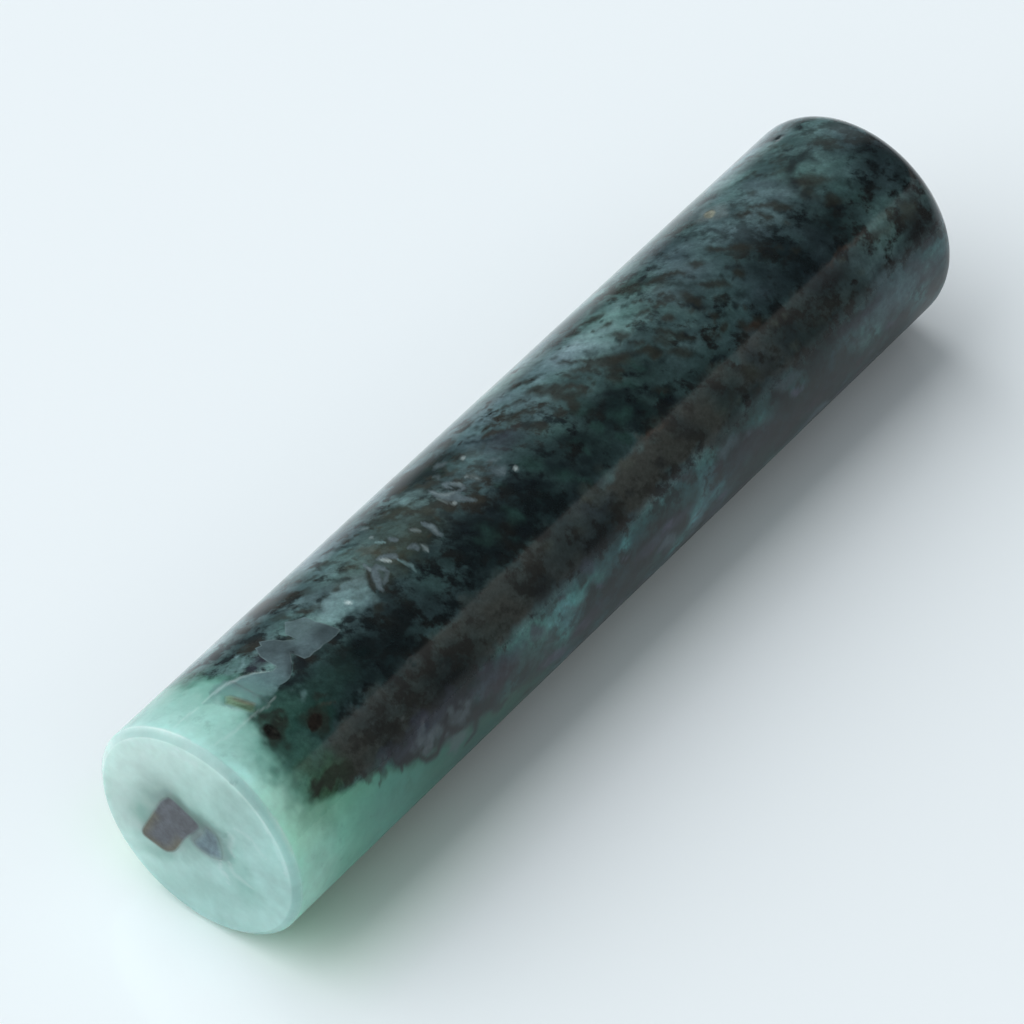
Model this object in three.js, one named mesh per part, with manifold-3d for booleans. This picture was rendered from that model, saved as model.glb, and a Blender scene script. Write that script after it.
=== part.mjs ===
import * as THREE from 'three';
import { mergeVertices } from 'three/addons/utils/BufferGeometryUtils.js';
import Module from 'manifold-3d';

// A blank seal stamp: one ground and polished rod of mottled green stone, lying on its side.
// Millimetres, +Z up. The origin is on the table, under the middle of the rod.
// The rod's axis runs along X: the flat seal face is at the -X end and the top is at the +X end.
// The stone holds a few mineral grains with outlines of their own. Each grain is a solid of its
// own, set in a pocket of the stone and ground flush with it.

const wasm = await Module();
wasm.setup();

// Driving dimensions of the rod
const STONE_LENGTH = 60;
const STONE_DIAMETER = 13.5;
const SEAL_BEVEL = 0.4;
const TOP_RIM_RADIUS = 2.0;

// Facet counts of the rod's round forms. The side's facets are wide enough for the rod to lie
// still on the one that it rests on.
const SIDE_FACETS = 48;
const RIM_STEPS = 7;
const OVAL_SIDES = 16;

// Gap left all round a grain in its pocket, and how far a cutting prism stands past the surface
const GRAIN_CLEARANCE = 0.05;
const CUT_MARGIN = 1;

// Grains in the seal face. An outline's points are [right, up] on the face as it is looked at,
// measured from the middle of the face.
const FACE_CRYSTAL_DEPTH = 1.6;
const FACE_CRYSTAL_OUTLINE = [
  [-1.75, 1.95], [0.45, 0.95], [-0.7, -0.65], [-1.5, -2.35],
  [-2.2, -2.85], [-4.0, -2.5], [-2.85, 0.1], [-2.35, 1.2],
];
const LILAC_GRAIN_DEPTH = 1.0;
const LILAC_GRAIN_OUTLINE = [
  [0.65, 1.15], [1.45, 1.0], [1.65, 0.1], [1.75, -0.7],
  [0.9, -1.05], [0.0, -0.9], [-0.25, -0.55], [0.3, 0.15],
];

// Grains in the round side. A grain sits at a distance along the rod and at an angle about the
// axis, counted in degrees from the top line towards the -Y side. Its outline's points are
// [along, over]: towards the top end, and over the top line towards the +Y side.
const OLIVE_LATH_FROM_SEAL = 4.08;
const OLIVE_LATH_ANGLE = -0.5;
const OLIVE_LATH_LENGTH = 1.95;
const OLIVE_LATH_WIDTH = 0.62;
const OLIVE_LATH_POINT = 0.25;
const OLIVE_LATH_TURN = 14;
const OLIVE_LATH_DEPTH = 0.6;

const GREY_FLAKE_FROM_SEAL = 8.0;
const GREY_FLAKE_ANGLE = -5;
const GREY_FLAKE_DEPTH = 0.7;
const GREY_FLAKE_OUTLINE = [
  [-3.0, 0.94], [-2.4, 0.71], [-1.9, 0.18], [-1.25, -0.42], [-0.8, -0.4],
  [-0.9, 0.35], [-0.72, 0.85], [-0.3, 1.53], [-0.03, 1.36], [0.2, 1.71],
  [0.72, 1.0], [0.82, 0.55], [1.22, 0.1], [1.27, 0.75], [2.08, 1.47],
  [2.3, 1.12], [2.93, 0.72], [2.8, 0.0], [3.25, -1.4], [2.3, -1.5],
  [1.0, -1.44], [-0.7, -1.3], [-2.0, -1.39], [-3.0, -1.5],
];

const DARK_LARGE_FROM_SEAL = 3.7;
const DARK_LARGE_ANGLE = 19.6;
const DARK_LARGE_LENGTH = 0.88;
const DARK_LARGE_WIDTH = 1.28;
const DARK_LARGE_DEPTH = 0.8;

const DARK_SMALL_FROM_SEAL = 4.56;
const DARK_SMALL_ANGLE = 17.3;
const DARK_SMALL_LENGTH = 0.42;
const DARK_SMALL_WIDTH = 0.5;
const DARK_SMALL_DEPTH = 0.4;

const BROWN_GRAIN_FROM_SEAL = 5.95;
const BROWN_GRAIN_ANGLE = 29.4;
const BROWN_GRAIN_LENGTH = 1.3;
const BROWN_GRAIN_WIDTH = 0.86;
const BROWN_GRAIN_TURN = 18;
const BROWN_GRAIN_DEPTH = 0.8;

const BEIGE_GRAIN_FROM_TOP = 11.4;
const BEIGE_GRAIN_ANGLE = -24.5;
const BEIGE_GRAIN_LENGTH = 1.05;
const BEIGE_GRAIN_WIDTH = 0.82;
const BEIGE_GRAIN_TURN = 40;
const BEIGE_GRAIN_DEPTH = 0.6;

// What follows from them
const STONE_RADIUS = STONE_DIAMETER / 2;
const BEIGE_GRAIN_FROM_SEAL = STONE_LENGTH - BEIGE_GRAIN_FROM_TOP;
// Vertices stand this much further out, so that each facet's middle touches the true radius
const FACET_REACH = 1 / Math.cos(Math.PI / SIDE_FACETS);

// Turns a closed three.js geometry into a solid that can be joined and cut.
function toSolid(geometry) {
  const bare = new THREE.BufferGeometry();
  bare.setAttribute('position', geometry.getAttribute('position'));
  if (geometry.index) {
    bare.setIndex(geometry.index);
  }
  const merged = mergeVertices(bare);
  const index = merged.index.array;
  const triangles = [];
  for (let i = 0; i < index.length; i += 3) {
    const [a, b, c] = [index[i], index[i + 1], index[i + 2]];
    // The points of a lathe that lie on its axis leave triangles with no area
    if (a !== b && b !== c && c !== a) {
      triangles.push(a, b, c);
    }
  }
  return new wasm.Manifold(new wasm.Mesh({
    numProp: 3,
    vertProperties: new Float32Array(merged.getAttribute('position').array),
    triVerts: new Uint32Array(triangles),
  }));
}

function toGeometry(solid) {
  const mesh = solid.getMesh();
  const geometry = new THREE.BufferGeometry();
  geometry.setAttribute('position', new THREE.BufferAttribute(mesh.vertProperties, 3));
  geometry.setIndex(new THREE.BufferAttribute(mesh.triVerts, 1));
  geometry.computeVertexNormals();
  return geometry;
}

// The whole rod before any pocket is cut, with its seal face at X 0 and its axis on X.
function stoneBlank() {
  const profile = [
    new THREE.Vector2(0, 0),
    new THREE.Vector2((STONE_RADIUS - SEAL_BEVEL) * FACET_REACH, 0),
    new THREE.Vector2(STONE_RADIUS * FACET_REACH, SEAL_BEVEL),
  ];
  for (let step = 0; step <= RIM_STEPS; step += 1) {
    const turn = (step / RIM_STEPS) * (Math.PI / 2);
    const radius = STONE_RADIUS - TOP_RIM_RADIUS * (1 - Math.cos(turn));
    const along = STONE_LENGTH - TOP_RIM_RADIUS * (1 - Math.sin(turn));
    profile.push(new THREE.Vector2(radius * FACET_REACH, along));
  }
  profile.push(new THREE.Vector2(0, STONE_LENGTH));
  // Half a facet of turn puts one facet flat on the table
  const lathe = new THREE.LatheGeometry(profile, SIDE_FACETS, Math.PI / SIDE_FACETS);
  lathe.rotateZ(-Math.PI / 2);
  return toSolid(lathe);
}

function turned(points, degrees) {
  const turn = THREE.MathUtils.degToRad(degrees);
  const origin = new THREE.Vector2(0, 0);
  return points.map(([x, y]) => new THREE.Vector2(x, y).rotateAround(origin, turn).toArray());
}

function ovalOutline(length, width, degrees = 0) {
  const points = [];
  for (let side = 0; side < OVAL_SIDES; side += 1) {
    const turn = (side / OVAL_SIDES) * 2 * Math.PI;
    points.push([(length / 2) * Math.cos(turn), (width / 2) * Math.sin(turn)]);
  }
  return turned(points, degrees);
}

// A long six-sided outline that stands across the rod and narrows to a blunt point at each end.
function lathOutline(length, width, point, degrees) {
  const half = width / 2;
  const reach = length / 2;
  return turned([
    [half, -reach + point], [half, reach - point], [half / 2, reach],
    [-half, reach - point], [-half, -reach + point], [-half / 2, -reach],
  ], degrees);
}

// The outline with every side moved out by the margin, so that a pocket clears its grain evenly.
function grown(points, margin) {
  const clockwise = THREE.ShapeUtils.area(points.map(([x, y]) => ({ x, y }))) < 0;
  const outward = clockwise ? -1 : 1;
  return points.map((point, i) => {
    const before = points[(i + points.length - 1) % points.length];
    const after = points[(i + 1) % points.length];
    const into = new THREE.Vector2(point[0] - before[0], point[1] - before[1]).normalize();
    const from = new THREE.Vector2(after[0] - point[0], after[1] - point[1]).normalize();
    const first = new THREE.Vector2(into.y, -into.x);
    const second = new THREE.Vector2(from.y, -from.x);
    const reach = (outward * margin) / (1 + first.dot(second));
    return [point[0] + (first.x + second.x) * reach, point[1] + (first.y + second.y) * reach];
  });
}

// A straight prism over the outline, from the depth under the surface to past it.
function prism(points, depth, seat) {
  const shape = new THREE.Shape(points.map(([x, y]) => new THREE.Vector2(x, y)));
  const geometry = new THREE.ExtrudeGeometry(shape, {
    depth: depth + CUT_MARGIN,
    bevelEnabled: false,
  });
  geometry.translate(0, 0, -depth);
  geometry.applyMatrix4(seat);
  return toSolid(geometry);
}

// Seats: each matrix's Z is the outward normal of the stone's surface at the grain.
function faceSeat() {
  const right = new THREE.Vector3(0, -1, 0);
  const up = new THREE.Vector3(0, 0, 1);
  return new THREE.Matrix4().makeBasis(right, up, new THREE.Vector3(-1, 0, 0));
}

function sideSeat(fromSeal, degrees) {
  const turn = THREE.MathUtils.degToRad(degrees);
  const normal = new THREE.Vector3(0, -Math.sin(turn), Math.cos(turn));
  const over = new THREE.Vector3(0, Math.cos(turn), Math.sin(turn));
  const seat = new THREE.Matrix4().makeBasis(new THREE.Vector3(1, 0, 0), over, normal);
  return seat.setPosition(normal.multiplyScalar(STONE_RADIUS).setX(fromSeal));
}

function finish(color, roughness, metalness = 0) {
  return new THREE.MeshStandardMaterial({ color, roughness, metalness });
}

const GRAINS = [
  {
    name: 'face_crystal',
    outline: FACE_CRYSTAL_OUTLINE,
    depth: FACE_CRYSTAL_DEPTH,
    seat: faceSeat(),
    material: finish(0x5c4a46, 0.3),
  },
  {
    name: 'lilac_grain',
    outline: LILAC_GRAIN_OUTLINE,
    depth: LILAC_GRAIN_DEPTH,
    seat: faceSeat(),
    material: finish(0x788c9b, 0.3),
  },
  {
    name: 'olive_lath',
    outline: lathOutline(OLIVE_LATH_LENGTH, OLIVE_LATH_WIDTH, OLIVE_LATH_POINT, OLIVE_LATH_TURN),
    depth: OLIVE_LATH_DEPTH,
    seat: sideSeat(OLIVE_LATH_FROM_SEAL, OLIVE_LATH_ANGLE),
    material: finish(0x6f7a52, 0.25),
  },
  {
    name: 'grey_flake',
    outline: GREY_FLAKE_OUTLINE,
    depth: GREY_FLAKE_DEPTH,
    seat: sideSeat(GREY_FLAKE_FROM_SEAL, GREY_FLAKE_ANGLE),
    material: finish(0x59656d, 0.2, 0.1),
  },
  {
    name: 'dark_grain_large',
    outline: ovalOutline(DARK_LARGE_LENGTH, DARK_LARGE_WIDTH),
    depth: DARK_LARGE_DEPTH,
    seat: sideSeat(DARK_LARGE_FROM_SEAL, DARK_LARGE_ANGLE),
    material: finish(0x1c1f1c, 0.2),
  },
  {
    name: 'dark_grain_small',
    outline: ovalOutline(DARK_SMALL_LENGTH, DARK_SMALL_WIDTH),
    depth: DARK_SMALL_DEPTH,
    seat: sideSeat(DARK_SMALL_FROM_SEAL, DARK_SMALL_ANGLE),
    material: finish(0x1c2320, 0.2),
  },
  {
    name: 'brown_grain',
    outline: ovalOutline(BROWN_GRAIN_LENGTH, BROWN_GRAIN_WIDTH, BROWN_GRAIN_TURN),
    depth: BROWN_GRAIN_DEPTH,
    seat: sideSeat(BROWN_GRAIN_FROM_SEAL, BROWN_GRAIN_ANGLE),
    material: finish(0x231b17, 0.2),
  },
  {
    name: 'beige_grain',
    outline: ovalOutline(BEIGE_GRAIN_LENGTH, BEIGE_GRAIN_WIDTH, BEIGE_GRAIN_TURN),
    depth: BEIGE_GRAIN_DEPTH,
    seat: sideSeat(BEIGE_GRAIN_FROM_SEAL, BEIGE_GRAIN_ANGLE),
    material: finish(0x857f6b, 0.35),
  },
];

// The grain is what the blank and the prism share, so its outer surface is the stone's own.
function grainMesh(grain, blank) {
  const solid = prism(grain.outline, grain.depth, grain.seat).intersect(blank);
  const mesh = new THREE.Mesh(toGeometry(solid), grain.material);
  mesh.name = grain.name;
  return mesh;
}

function bodyMesh(blank) {
  let solid = blank;
  for (const grain of GRAINS) {
    const outline = grown(grain.outline, GRAIN_CLEARANCE);
    solid = solid.subtract(prism(outline, grain.depth + GRAIN_CLEARANCE, grain.seat));
  }
  const mesh = new THREE.Mesh(toGeometry(solid), finish(0x2f4a48, 0.12));
  mesh.name = 'jade_body';
  return mesh;
}

const blank = stoneBlank();
const stone = new THREE.Group();
stone.position.set(-STONE_LENGTH / 2, 0, STONE_RADIUS);
stone.add(bodyMesh(blank));
for (const grain of GRAINS) {
  stone.add(grainMesh(grain, blank));
}

const sealStamp = new THREE.Group();
sealStamp.add(stone);

export default sealStamp;
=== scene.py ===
"""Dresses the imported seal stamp: a polished rod of mottled green stone and its mineral grains.

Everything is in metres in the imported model's own frame. Inside this file the stone's surface is
described in millimetres by two numbers: `along`, the distance from the seal face towards the top
end, and `angle`, in degrees about the rod's axis, counted from the top line towards -Y.
"""
import logging
import math
from dataclasses import dataclass, field
from enum import Enum

import bpy
import numpy as np
from mathutils import Matrix, Vector


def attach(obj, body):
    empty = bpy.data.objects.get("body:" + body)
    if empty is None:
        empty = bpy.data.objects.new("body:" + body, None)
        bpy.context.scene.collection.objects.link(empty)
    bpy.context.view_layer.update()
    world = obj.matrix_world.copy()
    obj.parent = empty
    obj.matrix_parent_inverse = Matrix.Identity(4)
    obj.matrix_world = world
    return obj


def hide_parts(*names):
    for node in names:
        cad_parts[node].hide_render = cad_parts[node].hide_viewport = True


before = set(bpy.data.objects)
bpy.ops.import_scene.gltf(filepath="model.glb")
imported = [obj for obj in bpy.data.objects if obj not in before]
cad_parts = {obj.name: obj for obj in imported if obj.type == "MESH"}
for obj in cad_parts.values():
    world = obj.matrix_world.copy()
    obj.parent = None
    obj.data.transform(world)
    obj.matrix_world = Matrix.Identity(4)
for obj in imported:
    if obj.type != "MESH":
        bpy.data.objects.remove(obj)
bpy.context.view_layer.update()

LOG = logging.getLogger("seal_stamp")

Array = np.ndarray
Points = tuple[tuple[float, float], ...]
Socket = bpy.types.NodeSocket

MM = 0.001
LENGTH = 60.0
RADIUS = 6.75
SEAL_X = -LENGTH / 2


# ------------------------------ pattern


def linear(*rgb: float) -> Array:
    """Turns a display colour with channels from 0 to 255 into linear light."""
    c = np.array(rgb, float) / 255.0
    return np.where(c <= 0.04045, c / 12.92, ((c + 0.055) / 1.055) ** 2.4)


def smooth(low: float, high: float, value: Array) -> Array:
    """Eases from 0 at low to 1 at high, which may be below low, along 3t^2 - 2t^3."""
    t = np.clip((value - low) / (high - low), 0.0, 1.0)
    return t * t * (3.0 - 2.0 * t)


def belt(value: Array, start: float, full: float, still: float, end: float) -> Array:
    """Rises smoothly from 0 at start to 1 at full, and falls from 1 at still to 0 at end."""
    return smooth(start, full, value) * smooth(end, still, value)


def blend(a: Array, b: Array, share: Array) -> Array:
    """Goes from a, at a share of 0, to b at a share of 1."""
    return a * (1.0 - share) + b * share


def look_up(table: tuple[tuple[float, ...], ...], at: Array, column: int = 1) -> Array:
    """Reads a table's column, between its rows too. Its first column gives the rows' places."""
    rows = np.array(table, float)
    return np.interp(at, rows[:, 0], rows[:, column])


def ramp(stops: tuple[float, ...], tones: tuple[tuple[int, ...], ...], at: Array) -> Array:
    """Reads a ramp of display colours, between its stops too, as linear colours."""
    rows = np.array([linear(*tone) for tone in tones])
    return np.stack([np.interp(at, stops, rows[:, k]) for k in range(3)], axis=-1)


def rotated(u: Array, v: Array, degrees: float) -> tuple[Array, Array]:
    """Turns (u, v) places in a plane by that many degrees, from u towards v."""
    c, s = math.cos(math.radians(degrees)), math.sin(math.radians(degrees))
    return u * c - v * s, u * s + v * c


class Cloud(Enum):
    """The clouds that run through the stone.

    Each has its largest cell's edge in millimetres, its first octave's number, how many octaves it
    has and, where it isn't the usual one, each octave's weight against the last.
    """

    WIDE = (3.6, 10, 3)
    MIDDLE = (1.4, 20, 3)
    PATCHY = (2.6, 30, 3)
    BEND_ALONG = (1.3, 40, 3)
    BEND_ROUND = (1.3, 45, 3)
    CURL_ALONG = (0.4, 60, 2)
    CURL_ROUND = (0.4, 65, 2)
    WARM = (1.7, 70, 2)
    HUE = (4.5, 75, 2)
    VIOLET = (1.8, 85, 3)
    MILKY_SIDE = (2.6, 110, 4)
    MILKY_FACE = (3.0, 110, 4)
    FINE_FACE = (0.7, 120, 3)
    POLISH = (5.0, 200, 2, 0.4)
    STREAK = (0.8, 330, 3)
    VAGUE = (0.9, 340, 4)


class StoneNoise:
    """Seeded cloud noise in three dimensions, the same on every run."""

    # large odd numbers that mix the seed, the layer and a corner's indices
    SEED_STEP = 7919
    LAYER_STEP = 104729
    INDEX_STEPS = (374761393, 668265263, 2147483647)
    SCRAMBLE = 1274126177
    WORD = 0xFFFFFFFF
    HALF_WORD = 0xFFFF
    ORIGIN = 400.0  # cells, which keeps the lattice's indices above 0
    LAYER_SHIFT = 17.3  # cells, so that the octaves' corners don't fall together
    GAIN = 1.5  # brings the octaves' sum back to about -1 to 1

    def __init__(self, seed: int) -> None:
        """Sets the seed that all layers start from."""
        self.seed = seed

    def _corner(self, corner: Array, layer: int) -> Array:
        """Gives each lattice corner a fixed random value from -1 to 1, by mixing its indices.

        Args:
            corner: the corners' indices along X, Y and Z, one row each.
            layer: the layer's own number.

        Returns:
            One value for each corner.
        """
        start = (self.seed * self.SEED_STEP + layer * self.LAYER_STEP) & self.WORD
        h = corner @ np.array(self.INDEX_STEPS) + start
        h = (h ^ (h >> 13)) & self.WORD
        h = (h * self.SCRAMBLE) & self.WORD
        h = (h ^ (h >> 16)) & self.HALF_WORD
        return h / (self.HALF_WORD / 2) - 1.0

    def layer(self, points: Array, size: float, layer: int) -> Array:
        """One octave: corner values blended along the quintic curve 6t^5 - 15t^4 + 10t^3.

        Args:
            points: places in millimetres, one row each.
            size: the lattice cell's edge in millimetres.
            layer: the layer's own number.

        Returns:
            A value from -1 to 1 for each place.
        """
        q = points / size + self.ORIGIN + self.LAYER_SHIFT * layer
        cell = np.floor(q).astype(np.int64)
        t = q - cell
        t = t * t * t * (t * (t * 6.0 - 15.0) + 10.0)
        total = np.zeros(len(points))
        for step in np.ndindex(2, 2, 2):
            wx, wy, wz = np.where(step, t, 1.0 - t).T
            total += wx * wy * wz * self._corner(cell + step, layer)
        return total

    def cloud(
        self, points: Array, size: float, layer: int, octaves: int = 3, fall: float = 0.55
    ) -> Array:
        """Several octaves added up, each half the size of the last and weaker by fall.

        Args:
            points: places in millimetres, one row each.
            size: the largest cell's edge in millimetres.
            layer: the first octave's number.
            octaves: how many octaves are added.
            fall: each octave's weight against the last.

        Returns:
            A value of about -1 to 1 for each place.
        """
        total, weight, norm = np.zeros(len(points)), 1.0, 0.0
        for octave in range(octaves):
            total += weight * self.layer(points, size / 2**octave, layer + octave)
            norm += weight * weight
            weight *= fall
        return total / math.sqrt(norm) * self.GAIN

    def of(self, points: Array, kind: Cloud) -> Array:
        """One of the stone's own clouds, about -1 to 1 at each place."""
        return self.cloud(points, *kind.value)


class Tint(Enum):
    """The colours that a spot can give the stone, as display values."""

    BLACK = (14, 22, 26)
    BROWN = (42, 43, 38)
    INK = (26, 38, 38)
    RUST = (74, 56, 45)
    UMBER = (36, 38, 33)
    OLIVE = (56, 60, 40)
    PLUM = (44, 44, 56)
    DUSK = (36, 32, 40)
    VIOLET = (66, 70, 86)
    GREEN = (34, 74, 64)
    SEA = (92, 146, 132)
    FERN = (66, 116, 84)
    TEAL = (56, 92, 83)
    SLATE = (62, 86, 86)
    HAZE = (68, 86, 92)
    DEEP = (38, 63, 59)
    JADE = (150, 198, 188)
    MIST = (112, 142, 144)
    LILAC = (84, 98, 103)
    MOSS = (66, 76, 68)
    PEARL = (116, 130, 131)
    WHITE = (205, 222, 222)


@dataclass(frozen=True)
class Patch:
    """A broad lighter or darker part of the round side, as a soft oval.

    The oval's own radius is 1 at its rim: rho^2 = (2u / length)^2 + (2v / width)^2, where u and v
    are millimetres from its middle, turned by `turn` degrees.
    """

    along: float
    angle: float
    length: float
    width: float
    lighter: float = 0.0  # added to the ground's lightness
    flecks: float = 0.0  # added to the share that dark flecks cover
    turn: float = 0.0
    soft: float = 0.6


@dataclass(frozen=True)
class Spot:
    """A soft oval of another colour, laid over the stone by a share from 0 to 1."""

    along: float
    angle: float
    length: float
    width: float
    turn: float
    tint: Tint
    amount: float
    soft: float = 0.4
    rough: float = 0.6  # how far the stone's own unevenness bends its outline


@dataclass(frozen=True)
class Swarm:
    """Many small spots strewn over a part of the round side."""

    along: tuple[float, float]
    angle: tuple[float, float]
    count: int
    length: tuple[float, float]
    tints: tuple[Tint, ...]
    amount: float = 0.8
    soft: float = 0.4
    turn: float = 52.0

    SLIM = (0.35, 0.65)  # a spot's width against its length
    SWAY = 16.0  # degrees by which the turns spread
    FADE = (0.55, 1.1)  # the share of `amount` that a spot has
    ROUGH = 0.8

    def spots(self, rng: np.random.Generator) -> list[Spot]:
        """Strews the spots: each lies about along the slanting grain, and is narrower than long.

        Args:
            rng: the seeded source of chance.

        Returns:
            The spots.
        """
        n = self.count
        rows = zip(
            rng.uniform(*self.along, n), rng.uniform(*self.angle, n),
            self.length[0] + (self.length[1] - self.length[0]) * rng.uniform(0.0, 1.0, n) ** 2,
            rng.uniform(*self.SLIM, n), self.turn + rng.normal(0.0, self.SWAY, n),
            rng.integers(0, len(self.tints), n), self.amount * rng.uniform(*self.FADE, n),
        )
        return [
            Spot(s, a, size, size * slim, turn, self.tints[k], amount, self.soft, self.ROUGH)
            for s, a, size, slim, turn, k, amount in rows
        ]


@dataclass(frozen=True)
class Vein:
    """A thin line on the surface through the given points."""

    points: Points
    width: float
    tint: Tint
    amount: float
    soft: float = 0.5

    BLUNT = 0.08  # the square of the share of its width that it keeps at its very ends


@dataclass
class Paint:
    """What the pattern gives each point.

    `colour` is the ground and `dark` its flecks, both linear. `flecked` is the share of the place
    that flecks cover, `grain` the strength of the finest mottling, `clear` how much light goes
    into the stone, and `rough` its roughness.
    """

    colour: Array
    dark: Array
    flecked: Array
    grain: Array
    clear: Array
    rough: Array

    @staticmethod
    def even(colour: Array, dark: Array, **levels: Array | float) -> "Paint":
        """Makes a paint whose levels are given by name, each as one number or as one a point."""
        full = {name: np.full(len(colour), level) for name, level in levels.items()}
        return Paint(colour, dark, **full)

    def lay(self, tint: Array, share: Array, rows: Array | slice = slice(None)) -> None:
        """Lays a linear colour over ground and flecks.

        Args:
            tint: the colour.
            share: from 0 to 1 at each of the rows.
            rows: which points it goes to.
        """
        w = np.clip(share, 0.0, 1.0)[:, None]
        self.colour[rows] = blend(self.colour[rows], tint, w)
        self.dark[rows] = blend(self.dark[rows], tint, w)

    def mix(self, other: "Paint", share: Array) -> "Paint":
        """Eases into another paint of the same points.

        Args:
            other: the paint that a share of 1 gives.
            share: from 0 to 1 at each point.

        Returns:
            The mixed paint.
        """
        parts = []
        for name in self.__dataclass_fields__:
            a, b = getattr(self, name), getattr(other, name)
            parts.append(blend(a, b, share[:, None] if a.ndim > 1 else share))
        return Paint(*parts)

    def take(self, rows: Array | slice) -> "Paint":
        """The paint of some of the points."""
        return Paint(*(getattr(self, name)[rows] for name in self.__dataclass_fields__))

    @staticmethod
    def joined(*paints: "Paint") -> "Paint":
        """Several paints' points, one after the other."""
        names = paints[0].__dataclass_fields__
        return Paint(*(np.concatenate([getattr(p, n) for p in paints]) for n in names))


def to_edge(points: Array, a: Array, b: Array) -> tuple[Array, Array]:
    """Distance to the edge from a to b, and the share of it at which the nearest point lies."""
    edge, reach = b - a, points - a
    t = np.clip((reach @ edge) / (edge @ edge), 0.0, 1.0)
    return np.linalg.norm(reach - t[:, None] * edge, axis=1), t


def polygon_distance(points: Array, outline: Array) -> Array:
    """Distance from a closed outline, negative inside.

    The distance is the least one to any edge, and its sign comes from counting the edges that a
    ray towards +u crosses.

    Args:
        points: places in the plane, one row each.
        outline: the outline's corners in order, one row each.

    Returns:
        The signed distance of each place.
    """
    best = np.full(len(points), np.inf)
    inside = np.zeros(len(points), bool)
    for a, b in zip(outline, np.roll(outline, -1, axis=0)):
        best = np.minimum(best, to_edge(points, a, b)[0])
        spans = (a[1] > points[:, 1]) != (b[1] > points[:, 1])
        run, rise = b - a
        cross = a[0] + (points[:, 1] - a[1]) * run / (rise if rise else 1e-9)
        inside ^= spans & (points[:, 0] < cross)
    return np.where(inside, -best, best)


def line_distance(points: Array, line: Array) -> tuple[Array, Array]:
    """Distance to an open line of straight pieces, and how far along it the nearest point is.

    Args:
        points: places in the plane, one row each.
        line: the line's points in order, one row each.

    Returns:
        The distance of each place, and the share of the line's length from 0 to 1.
    """
    best = np.full(len(points), np.inf)
    share = np.zeros(len(points))
    steps = np.linalg.norm(np.diff(line, axis=0), axis=1)
    start = np.concatenate([[0.0], np.cumsum(steps)])
    for k, (a, b) in enumerate(zip(line[:-1], line[1:])):
        d, t = to_edge(points, a, b)
        nearer = d < best
        best = np.where(nearer, d, best)
        share = np.where(nearer, (start[k] + t * steps[k]) / start[-1], share)
    return best, share


def oval(flat: Array, shape: Patch | Spot, arc: float = 1.0) -> Array:
    """How much of a soft oval each point has, from 0 outside to 1 in the middle.

    The oval eases out over `soft` of its radius, to each side of its rim.

    Args:
        flat: places in the plane in millimetres, one row each.
        shape: the patch or spot that it belongs to.
        arc: millimetres for one step of the shape's second number.

    Returns:
        The share of each point.
    """
    u, v = rotated(flat[:, 0] - shape.along, flat[:, 1] - shape.angle * arc, -shape.turn)
    rho = np.hypot(u / (shape.length / 2), v / (shape.width / 2))
    return smooth(1.0 + shape.soft, 1.0 - shape.soft, rho)


def stroke(flat: Array, vein: Vein, arc: float = 1.0) -> Array:
    """How much of a vein each point has: full within its width, which tapers to both ends.

    Args:
        flat: places in the plane in millimetres, one row each.
        vein: the vein.
        arc: millimetres for one step of its points' second number.

    Returns:
        The share of each point.
    """
    d, share = line_distance(flat, unrolled(vein.points, arc))
    taper = np.sqrt(np.clip(4.0 * share * (1.0 - share), vein.BLUNT, 1.0))
    outer, inner = vein.width * (1 + vein.soft), vein.width * (1 - vein.soft)
    return vein.amount * smooth(outer, inner, 2 * d / taper)


def unrolled(points: Points, arc: float) -> Array:
    """Turns points' second number into millimetres, arc for each step of it."""
    return np.array(points, float) * (1.0, arc)


def on_side(along: Array, angle: Array, radius: Array | float) -> Array:
    """Puts surface places in space: x = along - 30, y = -r sin(angle), z = R + r cos(angle)."""
    turn = np.radians(angle)
    return np.stack(
        [along + SEAL_X, -radius * np.sin(turn), RADIUS + radius * np.cos(turn)], axis=-1
    )


def on_end(x: Array | float, right: Array, up: Array) -> Array:
    """Puts (right, up) places across the rod in space: right is towards -Y from its axis."""
    return np.stack([np.full(len(right), x), -right, RADIUS + up], axis=-1)


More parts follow.
